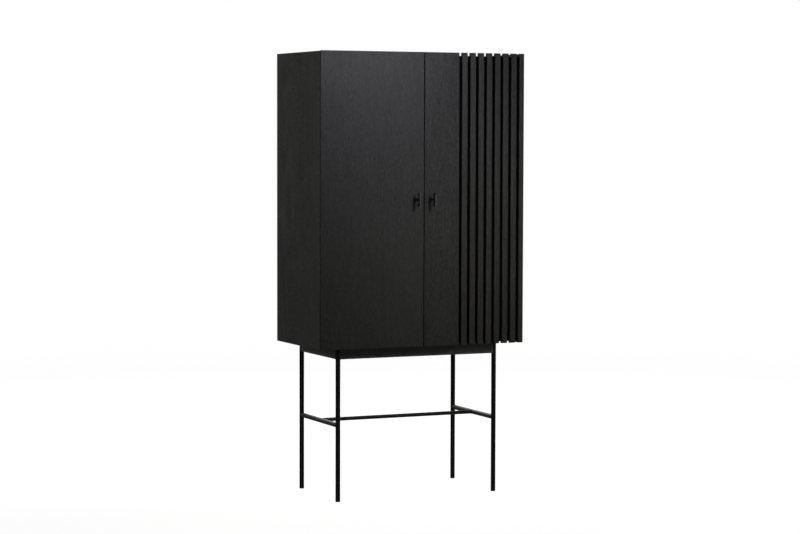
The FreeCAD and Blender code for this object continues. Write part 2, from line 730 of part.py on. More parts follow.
def apron_cutter(name, end, deep):
    """Block, a weld gap larger than a cross apron, that trims the inner end of a side apron."""
    return block(f"{name}_{end}_trim",
                 (f"-{LEG_ACROSS}", f"{deep} - apron_thick / 2 - weld_gap", f"{UNDERSIDE} - apron_height"),
                 (f"2 * {LEG_ACROSS}", "apron_thick + 2 * weld_gap", "apron_height"))


def stretcher(name, start, points, radius, length, tools):
    """Round tube between two members, its ends coped to them."""
    tube = padded(f"{name}_tube", [], [("0", "0", radius), ("0", "0", f"{radius} - tube_wall")],
                  length, start, points)
    piece(drilled(name, tube, tools), name)


def corner_tab(corner):
    """Gusset plate in a corner of the frame, with the hole for its screw into the case."""
    across, deep, turn_across, turn_deep = CORNERS[corner]
    near = "(apron_thick / 2 + weld_gap)"
    far = f"({near} + tab_reach)"
    nose = f"({near} + tab_nose)"
    corners = [(near, near), (far, near), (far, nose), (nose, far), (near, far)]
    plan = [(f"{turn_across} * {u}", f"{turn_deep} * {v}") for u, v in corners]
    hole_across, hole_deep = tab_hole(corner)
    hole = (f"{hole_across} - ({across})", f"{hole_deep} - ({deep})", "frame_screw_radius + screw_clearance")
    return padded(f"{corner}_tab", [plan], [hole], "tab_thick", (across, deep, f"{UNDERSIDE} - tab_thick"))


def frame_screw(corner):
    """Screw up through a corner tab into the bottom panel."""
    across, deep = tab_hole(corner)
    shank = "(frame_head_thick + tab_thick + frame_screw_bite)"
    profile = [
        ("0", "0"), ("frame_head_radius", "0"), ("frame_head_radius", "frame_head_thick"),
        ("frame_screw_radius", "frame_head_thick"), ("frame_screw_radius", shank), ("0", shank),
    ]
    head = f"{UNDERSIDE} - tab_thick - frame_head_thick"
    return turned(f"{corner}_frame_screw", profile, (across, deep, head))


def glide(corner):
    """Plastic foot with a plug that fills the leg's end."""
    across, deep, _, _ = CORNERS[corner]
    plug = "(leg_radius - tube_wall - glue_gap)"
    profile = [
        ("0", "0"), ("leg_radius - glide_ease", "0"), ("leg_radius", "glide_ease"),
        ("leg_radius", "glide_thick"), (plug, "glide_thick"), (plug, "glide_thick + glide_plug"),
        ("0", "glide_thick + glide_plug"),
    ]
    return turned(f"{corner}_glide", profile, (across, deep, "0"))


def base_frame():
    """Welded steel frame: legs, aprons, stretchers, corner tabs, screws and glides."""
    for corner in CORNERS:
        leg(corner)
    apron_level = f"{UNDERSIDE} - apron_height / 2"
    span = f"2 * {LEG_ACROSS}"
    depth = f"{LEG_BACK} - {LEG_FRONT}"
    ends = {"front": LEG_FRONT, "rear": LEG_BACK}
    for end, deep in ends.items():
        name = f"{end}_apron"
        apron(name, (f"-{LEG_ACROSS}", deep, apron_level), "+x", span,
              [leg_cutter(name, f"{end}_{side}") for side in SIDES])
    for side, sign in SIDES.items():
        across = f"{sign} * {LEG_ACROSS}"
        name = f"{side}_apron"
        copes = [leg_cutter(name, f"{end}_{side}") for end in ends]
        trims = [apron_cutter(name, end, deep) for end, deep in ends.items()]
        apron(name, (across, LEG_FRONT, apron_level), "+y", depth, copes + trims)
        name = f"{side}_stretcher"
        stretcher(name, (across, LEG_FRONT, "stretcher_height"), "+y", "leg_radius", depth,
                  [leg_cutter(name, f"{end}_{side}") for end in ends])
    side_cutters = [rod(f"long_{side}_cope", (f"{sign} * {LEG_ACROSS}", LEG_FRONT, "stretcher_height"), "+y",
                        "leg_radius + weld_gap", depth) for side, sign in SIDES.items()]
    stretcher("long_stretcher", (f"-{LEG_ACROSS}", LEG_MIDDLE, "stretcher_height"), "+x",
              "long_stretcher_radius", span, side_cutters)
    piece(together("corner_tabs", [corner_tab(corner) for corner in CORNERS]), "corner_tabs")
    piece(together("frame_screws", [frame_screw(corner) for corner in CORNERS]), "frame_screws")
    piece(together("foot_glides", [glide(corner) for corner in CORNERS]), "foot_glides")


def check_and_write():
    """Stop on any failed object or shape, then write one STEP file for each sub-part."""
    doc.recompute()
    failed = [item.Label for item in doc.Objects if {"Invalid", "Error"} & set(item.State)]
    if failed:
        raise RuntimeError(f"failed objects: {failed}")
    for name, item in pieces.items():
        if item.Shape.isNull() or not item.Shape.isValid() or not item.Shape.Solids:
            raise RuntimeError(f"bad shape: {name}")
    os.makedirs("parts", exist_ok=True)
    for name, item in pieces.items():
        item.Shape.exportStep(os.path.join("parts", f"{name}.step"))
    print(f"{len(pieces)} sub-parts, {sum(len(item.Shape.Solids) for item in pieces.values())} solids")


fill_sheet()
drill_hinge_holes()
case_panels()
shelves()
stemware_rack()
catches()
hinges()
for door_side, door_sign in SIDES.items():
    door(door_side, door_sign)
    knob(door_side, door_sign)
right_slats()
base_frame()
check_and_write()
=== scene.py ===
"""Looks of the bar armoire: a black-stained cabinet with mitred doors on a black steel frame.

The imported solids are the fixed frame. This script dresses each of them with a procedural finish,
adds the screws, weld beads and catches that a maker would see, and sets up a plain studio.
"""

from __future__ import annotations

import json
import logging
import math
from dataclasses import dataclass, field
from enum import Enum
from typing import Any, ClassVar, Sequence

import bmesh
import bpy
from mathutils import Matrix, Vector

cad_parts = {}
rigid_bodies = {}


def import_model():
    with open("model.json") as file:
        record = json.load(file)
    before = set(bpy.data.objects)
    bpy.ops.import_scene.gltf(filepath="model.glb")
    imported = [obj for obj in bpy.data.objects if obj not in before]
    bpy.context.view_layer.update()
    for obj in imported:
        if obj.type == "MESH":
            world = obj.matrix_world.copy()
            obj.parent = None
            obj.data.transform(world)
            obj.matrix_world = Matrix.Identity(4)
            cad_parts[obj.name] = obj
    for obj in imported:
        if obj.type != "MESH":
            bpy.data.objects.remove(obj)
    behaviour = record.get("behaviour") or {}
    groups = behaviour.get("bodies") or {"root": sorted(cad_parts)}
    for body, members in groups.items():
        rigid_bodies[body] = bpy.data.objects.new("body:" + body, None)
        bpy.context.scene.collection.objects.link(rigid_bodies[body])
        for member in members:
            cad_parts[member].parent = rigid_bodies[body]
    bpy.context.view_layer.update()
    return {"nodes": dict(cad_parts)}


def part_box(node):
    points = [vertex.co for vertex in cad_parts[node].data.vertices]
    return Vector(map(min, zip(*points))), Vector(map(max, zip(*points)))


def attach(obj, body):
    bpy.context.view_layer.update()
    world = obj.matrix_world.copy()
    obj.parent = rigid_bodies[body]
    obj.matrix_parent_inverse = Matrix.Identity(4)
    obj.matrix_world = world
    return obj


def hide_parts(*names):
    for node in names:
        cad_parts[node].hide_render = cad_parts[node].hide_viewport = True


LOG = logging.getLogger("bar_armoire")
MM = 0.001
SQUARE_HALF = math.sqrt(0.5)
NOISE_MIDDLE = 0.5
HEX_REACH = 0.5
CROSS_REACH = 0.56
CROSS_CORE = 0.2
CROSS_HALF_TURN = 0.2
WHITE = (1.0, 1.0, 1.0)
ORIGIN = (0.0, 0.0, 0.0)
RIGHT = Vector((1.0, 0.0, 0.0))
BACK = Vector((0.0, 1.0, 0.0))
UP = Vector((0.0, 0.0, 1.0))

Colour = tuple[float, float, float]
Point = tuple[float, float, float]
Spot = tuple[Vector, Vector]


def metres(*values: float) -> Vector:
    """Three lengths in millimetres as a vector in metres."""
    return Vector(values) * MM


def opaque(colour: Colour) -> tuple[float, float, float, float]:
    """A colour with a full alpha."""
    return (*colour, 1.0)


def stand(name: str, data: bpy.types.ID) -> bpy.types.Object:
    """Makes an object at the origin and puts it in the scene.

    Args:
        name: the object's name.
        data: its mesh, lamp or camera.

    Returns:
        The object.
    """
    item = bpy.data.objects.new(name, data)
    bpy.context.scene.collection.objects.link(item)
    return item


def as_mesh(name: str, shape: bmesh.types.BMesh) -> bpy.types.Mesh:
    """Turns a worked shape into a mesh, and frees the shape.

    Args:
        name: the mesh's name.
        shape: the worked shape.

    Returns:
        The mesh.
    """
    mesh = bpy.data.meshes.new(name)
    shape.to_mesh(mesh)
    shape.free()
    return mesh


@dataclass(frozen=True)
class Extent:
    """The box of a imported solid, in millimetres."""

    low: Vector
    high: Vector

    @classmethod
    def of(cls, node: str) -> Extent:
        """Reads a solid's box from the frame."""
        low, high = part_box(node)
        return cls(low / MM, high / MM)

    @property
    def middle(self) -> Vector:
        """The middle of the box."""
        return (self.low + self.high) / 2

    @property
    def half(self) -> Vector:
        """Half of its width, depth and height."""
        return (self.high - self.low) / 2


def measured(node: str) -> Any:
    """Gives a field that holds a solid's box, read when its class is set up."""
    return field(default_factory=lambda: Extent.of(node))


class Door(Enum):
    """The two doors, by the sign of their side."""

    LEFT = -1
    RIGHT = 1

    @property
    def word(self) -> str:
        """The door's name in the names of its pieces."""
        return self.name.lower()

    @property
    def body(self) -> str:
        """The body that the door's pieces ride on."""
        return f"{self.word}_door"


class Grain(Enum):
    """The way the grain of a board runs, as the turn that stands it upright."""

    UPRIGHT = (0.0, 0.0, 0.0)
    ACROSS = (0.0, math.pi / 2, 0.0)
    DEEP = (math.pi / 2, 0.0, 0.0)


class Recess(Enum):
    """The driver recess in a screw's head."""

    CROSS = "cross"
    HEX = "hex"

    def radius(self, angle: float) -> float:
        """Gives the recess's reach at an angle, as a share of the head's radius.

        Args:
            angle: direction round the head, in radians.

        Returns:
            The distance from the middle to the recess's wall.
        """
        if self is Recess.HEX:
            fold = angle % (math.pi / 3) - math.pi / 6
            return HEX_REACH * math.cos(math.pi / 6) / math.cos(fold)
        fold = abs((angle + math.pi / 4) % (math.pi / 2) - math.pi / 4)
        return CROSS_REACH if fold < CROSS_HALF_TURN else CROSS_CORE


class Sheet:
    """One node tree that nodes are added to and linked in."""

    def __init__(self, tree: bpy.types.NodeTree) -> None:
        """Keeps the tree."""
        self.tree = tree

    def add(self, kind: str, values: dict[str | int, Any] | None = None, **settings: Any) -> bpy.types.Node:
        """Adds a node, with its settings and its inputs.

        Args:
            kind: the node's type.
            values: a plain value or a socket for each named or numbered input.
            settings: the node's own properties.

        Returns:
            The new node.
        """
        node = self.tree.nodes.new(kind)
        for name, setting in settings.items():
            setattr(node, name, setting)
        for name, value in (values or {}).items():
            self.feed(node.inputs[name], value)
        return node

    def feed(self, socket: bpy.types.NodeSocket, value: Any) -> None:
        """Links a socket to an input, or sets a plain value on it."""
        if isinstance(value, bpy.types.NodeSocket):
            self.tree.links.new(value, socket)
        else:
            socket.default_value = value

    def math(self, operation: str, first: Any, second: Any = 0.0, third: Any = 0.0) -> bpy.types.NodeSocket:
        """Works out one step of arithmetic.

        Args:
            operation: the Math node's operation.
            first: a number or a socket.
            second: a number or a socket.
            third: a number or a socket.

        Returns:
            The result's socket.
        """
        kind = "ShaderNodeMath"
        return self.add(kind, {0: first, 1: second, 2: third}, operation=operation).outputs[0]

    def weighed(self, value: Any, weight: Any, base: Any) -> bpy.types.NodeSocket:
        """Adds a value, times its weight, to a base."""
        return self.math("MULTIPLY_ADD", value, weight, base)

    def swing(self, noise: bpy.types.NodeSocket) -> bpy.types.NodeSocket:
        """Centres a noise on zero."""
        return self.math("SUBTRACT", noise, NOISE_MIDDLE)

    def split(self, vector: bpy.types.NodeSocket) -> bpy.types.NodeOutputs:
        """Splits a vector into its X, Y and Z."""
        return self.add("ShaderNodeSeparateXYZ", {0: vector}).outputs

    def joined(self, x: Any, y: Any, z: Any) -> bpy.types.NodeSocket:
        """Joins three values into a vector."""
        return self.add("ShaderNodeCombineXYZ", {0: x, 1: y, 2: z}).outputs[0]

    def between(self, factor: Any, first: Any, second: Any) -> bpy.types.NodeSocket:
        """Mixes two numbers by the second one's share."""
        return self.add("ShaderNodeMix", {0: factor, 2: first, 3: second}, data_type="FLOAT").outputs[0]

    def vector_math(self, operation: str, first: Any, second: Any) -> bpy.types.NodeSocket:
        """Works out one step of vector arithmetic."""
        return self.add("ShaderNodeVectorMath", {0: first, 1: second}, operation=operation).outputs[0]

    def mix(self, factor: Any, first: Any, second: Any) -> bpy.types.NodeSocket:
        """Mixes two colours.

        Args:
            factor: the second colour's share.
            first: a colour or a socket.
            second: a colour or a socket.

        Returns:
            The mixed colour's socket.
        """
        node = self.add("ShaderNodeMix", {0: factor, 6: first, 7: second}, data_type="RGBA")
        return node.outputs[2]

    def fade(
        self, value: Any, low: float, high: float, start: float = 0.0, end: float = 1.0
    ) -> bpy.types.NodeSocket:
        """Maps a value smoothly from one range to another.

        Args:
            value: the socket to map.
            low: the value that gives start.
            high: the value that gives end.
            start: the result at low.
            end: the result at high.

        Returns:
            The mapped value's socket.
        """
        values = {"Value": value, "From Min": low, "From Max": high, "To Min": start, "To Max": end}
        return self.add("ShaderNodeMapRange", values, interpolation_type="SMOOTHSTEP").outputs[0]

    def noise(
        self, vector: Any, scale: Any, detail: float = 2.0, rough: float = 0.5, bend: float = 0.0
    ) -> bpy.types.NodeSocket:
        """Adds a noise over a vector.

        Args:
            vector: the place's socket.
            scale: the noise's cells to a metre.
            detail: the finer layers.
            rough: how strong the finer layers are.
            bend: how far the noise distorts itself.

        Returns:
            The noise's value, about a half on average.
        """
        values = {"Vector": vector, "Scale": scale, "Detail": detail, "Roughness": rough, "Distortion": bend}
        return self.add("ShaderNodeTexNoise", values).outputs[0]


class Effect:
    """A shader group with named inputs and outputs, built once and used by many finishes."""

    def __init__(self, name: str, inputs: dict[str, Any], outputs: Sequence[str]) -> None:
        """Makes the empty group.

        Args:
            name: the group's name.
            inputs: each input's name and its default, a number or a triple.
            outputs: the names of its values.
        """
        self.tree = bpy.data.node_groups.new(name, "ShaderNodeTree")
        for label, default in inputs.items():
            kind = "NodeSocketFloat" if isinstance(default, float) else "NodeSocketVector"
            socket = self.tree.interface.new_socket(name=label, in_out="INPUT", socket_type=kind)
            socket.default_value = default
        for label in outputs:
            self.tree.interface.new_socket(name=label, in_out="OUTPUT", socket_type="NodeSocketFloat")
        self.sheet = Sheet(self.tree)
        self.given = self.sheet.add("NodeGroupInput").outputs
        self.result = self.sheet.add("NodeGroupOutput").inputs

    def ends(self, **results: bpy.types.NodeSocket) -> None:
        """Links the group's outputs, named in lower case."""
        for label, socket in results.items():
            self.sheet.feed(self.result[label.capitalize()], socket)

    def placed(self, sheet: Sheet, **values: Any) -> bpy.types.NodeOutputs:
        """Places the group in a material.

        Args:
            sheet: the material's tree.
            values: the inputs, in lower case with _ for a space.

        Returns:
            The group's outputs.
        """
        node = sheet.add("ShaderNodeGroup", node_tree=self.tree)
        for label, value in values.items():
            sheet.feed(node.inputs[label.replace("_", " ").capitalize()], value)
        return node.outputs


@dataclass(frozen=True)
class OakFigure:
    """The figure of brushed oak.

    A stretch is how far a layer is drawn out along the grain, and a scale is its cells to a metre. The tones
    and heights are the layers' shares.
    """

    pore_stretch: float = 15.0
    ring_stretch: float = 7.0
    fleck_stretch: float = 3.2
    streak_scale: float = 130.0
    ring_scale: float = 5.0
    ring_bend: float = 0.6
    fleck_scale: float = 250.0
    pore_scale_share: float = 0.95
    pore_line: float = 0.66
    early_pore_drop: float = -0.07
    pore_edge: float = 0.07
    streak_tone: float = 1.1
    fleck_tone: float = 2.3
    fibre_tone: float = 1.2
    ring_tone: float = 0.13
    broad_tone: float = 0.6
    fibre_height: float = 0.55
    streak_height: float = 0.35
    early_height: float = -0.12
    pore_height: float = -0.5


class Effects:
    """The shared surface effects."""

    def __init__(self) -> None:
        """Builds every group."""
        self.grain = self._brushed_grain(OakFigure())
        self.rub = self._arris_rub()
        self.dust = self._settled_dust()
        self.peel = self._fine_peel()
        self.hairline = self._hairline()

    @staticmethod
    def _brushed_grain(oak: OakFigure) -> Effect:
        """Makes brushed oak: growth rings, fibres along the grain and short open pores.

        Args:
            oak: the figure's stretches, scales and shares.

        Returns:
            A group with a tone from about -1 to 1, a mask of pores and a height.
        """
        inputs = {"Vector": ORIGIN, "Fibre scale": 950.0, "Stretch": 28.0, "Rings": 26.0}
        effect = Effect("brushed_grain", inputs, ("Tone", "Pores", "Height"))
        sheet, given = effect.sheet, effect.given
        place = sheet.split(given["Vector"])

        def drawn(stretch: Any) -> bpy.types.NodeSocket:
            """Draws the place out along the grain."""
            return sheet.joined(place["X"], place["Y"], sheet.math("DIVIDE", place["Z"], stretch))

        long = drawn(given["Stretch"])
        fibre = sheet.noise(long, given["Fibre scale"], detail=3.0, rough=0.6)
        streak = sheet.noise(long, oak.streak_scale, detail=3.0, rough=0.55)
        slow = drawn(oak.ring_stretch)
        broad = sheet.noise(slow, oak.ring_scale, detail=1.5, rough=0.45, bend=oak.ring_bend)
        fleck = sheet.noise(drawn(oak.fleck_stretch), oak.fleck_scale, detail=2.0, rough=0.6)
        turns = sheet.math("MULTIPLY", given["Rings"], math.tau)
        ring = sheet.math("SINE", sheet.math("MULTIPLY", broad, turns))
        early = sheet.fade(ring, -0.2, 1.0)
        pore_scale = sheet.math("MULTIPLY", given["Fibre scale"], oak.pore_scale_share)
        pore_noise = sheet.noise(drawn(oak.pore_stretch), pore_scale, detail=1.0)
        pore_line = sheet.weighed(early, oak.early_pore_drop, oak.pore_line)
        pores = sheet.fade(sheet.math("SUBTRACT", pore_noise, pore_line), 0.0, oak.pore_edge)

        tone = sheet.math("MULTIPLY", sheet.swing(streak), oak.streak_tone)
        tone = sheet.weighed(sheet.swing(fleck), oak.fleck_tone, tone)
        tone = sheet.weighed(sheet.swing(fibre), oak.fibre_tone, tone)
        tone = sheet.weighed(ring, oak.ring_tone, tone)
        tone = sheet.weighed(sheet.swing(broad), oak.broad_tone, tone)
        height = sheet.weighed(fibre, oak.fibre_height, sheet.math("MULTIPLY", streak, oak.streak_height))
        height = sheet.weighed(early, oak.early_height, height)
        height = sheet.weighed(pores, oak.pore_height, height)
        effect.ends(tone=tone, pores=pores, height=height)
        return effect

    @staticmethod
    def _arris_rub() -> Effect:
        """Makes a mask along the edges of a board, from the corners of its box.

        Returns:
            A group with the mask, broken up as wear is.
        """
        inputs = {"Vector": ORIGIN, "Low": ORIGIN, "High": ORIGIN, "Width": 0.002}
        effect = Effect("arris_rub", inputs, ("Mask",))
        sheet, given = effect.sheet, effect.given
        from_low = sheet.vector_math("SUBTRACT", given["Vector"], given["Low"])
        from_high = sheet.vector_math("SUBTRACT", given["High"], given["Vector"])
        nearest = sheet.vector_math("MINIMUM", from_low, from_high)
        apart = sheet.split(sheet.vector_math("DIVIDE", nearest, sheet.joined(*[given["Width"]] * 3)))
        near = [sheet.fade(apart[axis], 1.0, 0.0) for axis in ("X", "Y", "Z")]
        pairs = [sheet.math("MULTIPLY", near[a], near[b]) for a, b in ((0, 1), (1, 2), (0, 2))]
        edge = sheet.math("MAXIMUM", sheet.math("MAXIMUM", pairs[0], pairs[1]), pairs[2])
        patches = sheet.noise(given["Vector"], scale=45.0, detail=4.0, rough=0.65)
        broken = sheet.fade(patches, 0.38, 0.72, start=0.12)
        effect.ends(mask=sheet.math("MULTIPLY", edge, broken))
        return effect

    @staticmethod
    def _settled_dust() -> Effect:
        """Makes a thin film of dust on what faces up.

        Returns:
            A group with the film's mask.
        """
        effect = Effect("settled_dust", {"Vector": ORIGIN, "Amount": 0.2}, ("Mask",))
        sheet, given = effect.sheet, effect.given
        facing = sheet.add("ShaderNodeNewGeometry").outputs["True Normal"]
        up = sheet.fade(sheet.split(facing)["Z"], 0.75, 1.0)
        patches = sheet.noise(given["Vector"], scale=18.0, detail=6.0, rough=0.7)
        cloud = sheet.fade(patches, 0.35, 0.75, start=0.25)
        effect.ends(mask=sheet.math("MULTIPLY", sheet.math("MULTIPLY", up, cloud), given["Amount"]))
        return effect

    @staticmethod
    def _fine_peel() -> Effect:
        """Makes the fine skin of powder coat or moulded plastic.

        Returns:
            A group with a tone from about -1 to 1 and a height.
        """
        effect = Effect("fine_peel", {"Vector": ORIGIN, "Scale": 900.0}, ("Tone", "Height"))
        sheet, given = effect.sheet, effect.given
        peel = sheet.noise(given["Vector"], given["Scale"])
        speck = sheet.noise(given["Vector"], sheet.math("MULTIPLY", given["Scale"], 3.1), detail=1.0)
        cloud = sheet.noise(given["Vector"], scale=14.0, detail=4.0, rough=0.6)
        height = sheet.weighed(speck, 0.35, peel)
        tone = sheet.math("MULTIPLY", sheet.swing(cloud), 2.2)
        tone = sheet.weighed(sheet.swing(speck), 0.9, tone)
        effect.ends(tone=tone, height=height)
        return effect

    @staticmethod
    def _hairline() -> Effect:
        """Makes hairlines across the upright, as turning or brushing leaves on metal.

        Returns:
            A group with the lines and a slow tone.
        """
        effect = Effect("hairline", {"Vector": ORIGIN, "Scale": 2600.0}, ("Lines", "Tone"))
        sheet, given = effect.sheet, effect.given
        drawn = sheet.vector_math("MULTIPLY", given["Vector"], (0.03, 0.03, 1.0))
        lines = sheet.noise(drawn, given["Scale"], detail=3.0, rough=0.65)
        tone = sheet.noise(given["Vector"], scale=60.0, detail=4.0, rough=0.6)
        effect.ends(lines=lines, tone=tone)
        return effect


class Surface:
    """A material whose Principled shader the finishes fill in."""

    def __init__(self, name: str) -> None:
        """Makes the material and its Object coordinates.

        Args:
            name: the material's name.
        """
        self.material = bpy.data.materials.new(name)
        self.material.use_nodes = True
        self.sheet = Sheet(self.material.node_tree)
        self.shader = self.material.node_tree.nodes["Principled BSDF"]
        self.place = self.sheet.add("ShaderNodeTexCoord").outputs["Object"]

    def mapped(self, turn: Point, shift: Point) -> bpy.types.NodeSocket:
        """Turns and shifts the pattern's place.

        Args:
            turn: the turn about each axis, in radians.
            shift: the move, in metres.

        Returns:
            The new place's socket.
        """
        values = {"Vector": self.place, "Location": shift, "Rotation": turn}
        return self.sheet.add("ShaderNodeMapping", values).outputs[0]

    def bump(self, height: bpy.types.NodeSocket, distance: float, strength: float) -> None:
        """Feeds the normal from a height.

        Args:
            height: the height's socket.
            distance: the relief at a height of 1, in metres.
            strength: the share of the relief that shows.
        """
        values = {"Height": height, "Distance": distance, "Strength": strength}
        self.set("Normal", self.sheet.add("ShaderNodeBump", values).outputs["Normal"])

    def shaded(self, level: Any, colour: Sequence[float], contrast: float) -> bpy.types.NodeSocket:
        """Runs a colour from darker to lighter.

        Args:
            level: the place between the two, from 0 to 1.
            colour: the middle colour.
            contrast: how far both ends lie from it, as a share.

        Returns:
            The colour's socket.
        """
        ends = [opaque(tuple(Vector(colour) * (1.0 + side * contrast))) for side in (-1, 1)]
        return self.sheet.mix(level, *ends)

    def set(self, name: str, value: Any) -> None:
        """Sets or links one input of the shader."""
        self.sheet.feed(self.shader.inputs[name], value)


@dataclass(frozen=True)
class StainedWood:
    """Wood stained black, brushed along its grain and lacquered.

    A board with an inner lift is that much lighter on the face that is turned into the case; on the door
    panel the darker stain of its other faces is painted shade.
    """

    name: str
    stain: Colour
    roughness: float = 0.52
    specular: float = 0.3
    contrast: float = 0.52
    relief: float = 0.00035
    rub: float = 0.1
    pore_share: float = 0.75
    dust: float = 0.05
    rubbed: Colour = (0.05, 0.046, 0.042)
    dusty: Colour = (0.11, 0.107, 0.102)
    inner_lift: float = 1.0
    inner_skin: ClassVar[float] = 0.4 * MM
    pattern_step: ClassVar[float] = 2.7
    pattern_skew: ClassVar[float] = 1.3
    pore_dark: ClassVar[float] = 0.3
    tone_rough: ClassVar[float] = -0.05
    pore_rough: ClassVar[float] = 0.2
    rub_rough: ClassVar[float] = -0.08
    dust_rough: ClassVar[float] = 0.6
    bump_share: ClassVar[float] = 0.55

    def board(self, effects: Effects, node: str, grain: Grain, tone: float = 0.0) -> bpy.types.Material:
        """Makes the material of one board.

        Args:
            effects: the shared groups.
            node: the board's name, whose box gives the edges.
            grain: the way the grain runs.
            tone: how much lighter or darker this board is, as a share.

        Returns:
            The material.
        """
        surface = Surface(f"{self.name}_{node}")
        sheet = surface.sheet
        low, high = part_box(node)
        shift = tuple(self.pattern_step * (low[axis] + self.pattern_skew * high[axis]) for axis in range(3))
        grained = effects.grain.placed(sheet, vector=surface.mapped(grain.value, shift))
        rubbed = effects.rub.placed(sheet, vector=surface.place, low=low, high=high)["Mask"]
        dust = effects.dust.placed(sheet, vector=surface.place, amount=self.dust)["Mask"]

        level = sheet.fade(grained["Tone"], -1.0, 1.0)
        stain = Vector(self.stain) * (1.0 + tone)
        colour = surface.shaded(level, stain, self.contrast)
        pores = sheet.math("MULTIPLY", grained["Pores"], self.pore_share)
        colour = sheet.mix(pores, colour, opaque(tuple(stain * self.pore_dark)))
        # Only the face turned into the case is lifted; the other faces keep the base stain, which on the door
        # panel is painted shade.
        if self.inner_lift > 1.0:
            inside = sheet.math("GREATER_THAN", sheet.split(surface.place)["Y"], high[1] - self.inner_skin)
            colour = sheet.mix(inside, colour, sheet.vector_math("MULTIPLY", colour, (self.inner_lift,) * 3))
        colour = sheet.mix(sheet.math("MULTIPLY", rubbed, self.rub), colour, opaque(self.rubbed))
        surface.set("Base Color", sheet.mix(dust, colour, opaque(self.dusty)))
        rough = sheet.weighed(grained["Tone"], self.tone_rough, self.roughness)
        rough = sheet.weighed(grained["Pores"], self.pore_rough, rough)
        rough = sheet.weighed(rubbed, self.rub_rough, rough)
        surface.set("Roughness", sheet.weighed(dust, self.dust_rough, rough))
        surface.set("Specular IOR Level", self.specular)
        surface.bump(grained["Height"], self.relief, self.bump_share)
        return surface.material


@dataclass(frozen=True)
class CoatedSkin:
    """Powder coat or moulded plastic, with a fine peel."""

    name: str
    colour: Colour
    roughness: float
    scale: float = 900.0
    relief: float = 0.00012
    contrast: float = 0.2
    specular: float = 0.4
    dust: float = 0.08
    dusty: Colour = (0.1, 0.098, 0.094)
    tone_rough: ClassVar[float] = 0.06
    bump_share: ClassVar[float] = 0.5

    def material(self, effects: Effects) -> bpy.types.Material:
        """Makes the material.

        Args:
            effects: the shared groups.

        Returns:
            The material.
        """
        surface = Surface(self.name)
        sheet = surface.sheet
        skin = effects.peel.placed(sheet, vector=surface.place, scale=self.scale)
        dust = effects.dust.placed(sheet, vector=surface.place, amount=self.dust)["Mask"]
        colour = surface.shaded(sheet.fade(skin["Tone"], -1.0, 1.0), self.colour, self.contrast)
        surface.set("Base Color", sheet.mix(dust, colour, opaque(self.dusty)))
        surface.set("Roughness", sheet.weighed(skin["Tone"], self.tone_rough, self.roughness))
        surface.set("Specular IOR Level", self.specular)
        surface.bump(skin["Height"], self.relief, self.bump_share)
        return surface.material


@dataclass(frozen=True)
class WorkedMetal:
    """Plated, blackened or coated metal with hairlines from turning or brushing."""

    name: str
    colour: Colour
    roughness: float
    metallic: float
    scale: float = 2600.0
    contrast: float = 0.18
    relief: float = 0.00004
    specular: float = 0.5
    smoother: ClassVar[float] = 0.08
    rougher: ClassVar[float] = 0.1
    bump_share: ClassVar[float] = 0.5

    def material(self, effects: Effects) -> bpy.types.Material:
        """Makes the material.

        Args:
            effects: the shared groups.

        Returns:
            The material.
        """
        surface = Surface(self.name)
        sheet = surface.sheet
        worked = effects.hairline.placed(sheet, vector=surface.place, scale=self.scale)
        mean = sheet.weighed(worked["Lines"], 0.5, sheet.math("MULTIPLY", worked["Tone"], 0.5))
        level = sheet.fade(mean, 0.3, 0.7)
        surface.set("Base Color", surface.shaded(level, self.colour, self.contrast))
        rough = (self.roughness - self.smoother, self.roughness + self.rougher)
        surface.set("Roughness", sheet.fade(worked["Tone"], 0.25, 0.75, *rough))
        surface.set("Metallic", self.metallic)
        surface.set("Specular IOR Level", self.specular)
        surface.bump(worked["Lines"], self.relief, self.bump_share)
        return surface.material


SIDE_WOOD = StainedWood("side_wood", (0.0195, 0.0192, 0.0184), contrast=0.95)
CASE_WOOD = StainedWood("case_wood", (0.019, 0.0187, 0.018), roughness=0.74, specular=0.1)
# The right door's front is a darker copy of the left's wood: painted shade, to offset the reflected light
# that the right board catches.
LEFT_FRONT_WOOD = StainedWood("front_wood", (0.0244, 0.0242, 0.024), contrast=0.38)
RIGHT_FRONT_WOOD_PAINTED_SHADE = StainedWood("front_wood", (0.0186, 0.0185, 0.0183), contrast=0.66)
SLAT_WOOD = StainedWood("slat_wood", (0.023, 0.0228, 0.0226))
# Door panel: near-black on every face but the one turned into the case. It is a black backing that is also
# painted shade for the deep slat grooves and the door gap; the inner lift gives the inner face back the
# case's stain.
SHADE_BLACK_CORE_WOOD = StainedWood(
    "door_core_wood", (0.003, 0.003, 0.003), roughness=0.85, specular=0.05, rub=0.05, inner_lift=6.5
)
SHELF_WOOD = StainedWood("shelf_wood", (0.021, 0.0205, 0.0198))
BACK_BOARD = StainedWood(
    "back_board", (0.017, 0.0165, 0.016), roughness=0.7, specular=0.2, relief=0.00015, rub=0.2
)
DOWEL_WOOD = StainedWood("dowel_wood", (0.52, 0.37, 0.22), roughness=0.6, rub=0.0)
FRAME_COAT = CoatedSkin(
    "frame_steel", (0.0055, 0.0055, 0.0056), roughness=0.42, relief=0.00006, specular=0.25
)
# The aprons' coat is a lighter copy of the frame's steel coat. This is painted fill light for aprons that sit
# in the doors' shadow.
APRON_COAT_PAINTED_FILL = CoatedSkin("frame_steel_flats", (0.06, 0.0597, 0.058), roughness=0.5, specular=0.35)
KNOB_COAT = WorkedMetal("knob_metal", (0.0026, 0.0026, 0.0027), roughness=0.28, metallic=0.0, specular=0.8)
HINGE_STEEL = WorkedMetal("hinge_steel", (0.0025, 0.0025, 0.0026), roughness=0.6, metallic=0.0, specular=0.08)
ZINC_STEEL = WorkedMetal("zinc_steel", (0.6, 0.6, 0.61), roughness=0.34, metallic=1.0)
CATCH_PLASTIC = CoatedSkin("catch_plastic", (0.03, 0.03, 0.03), roughness=0.55, scale=1500.0, relief=0.00008)
FOOT_PLASTIC = CoatedSkin("foot_plastic", (0.018, 0.018, 0.018), roughness=0.6, scale=1500.0, relief=0.00008)


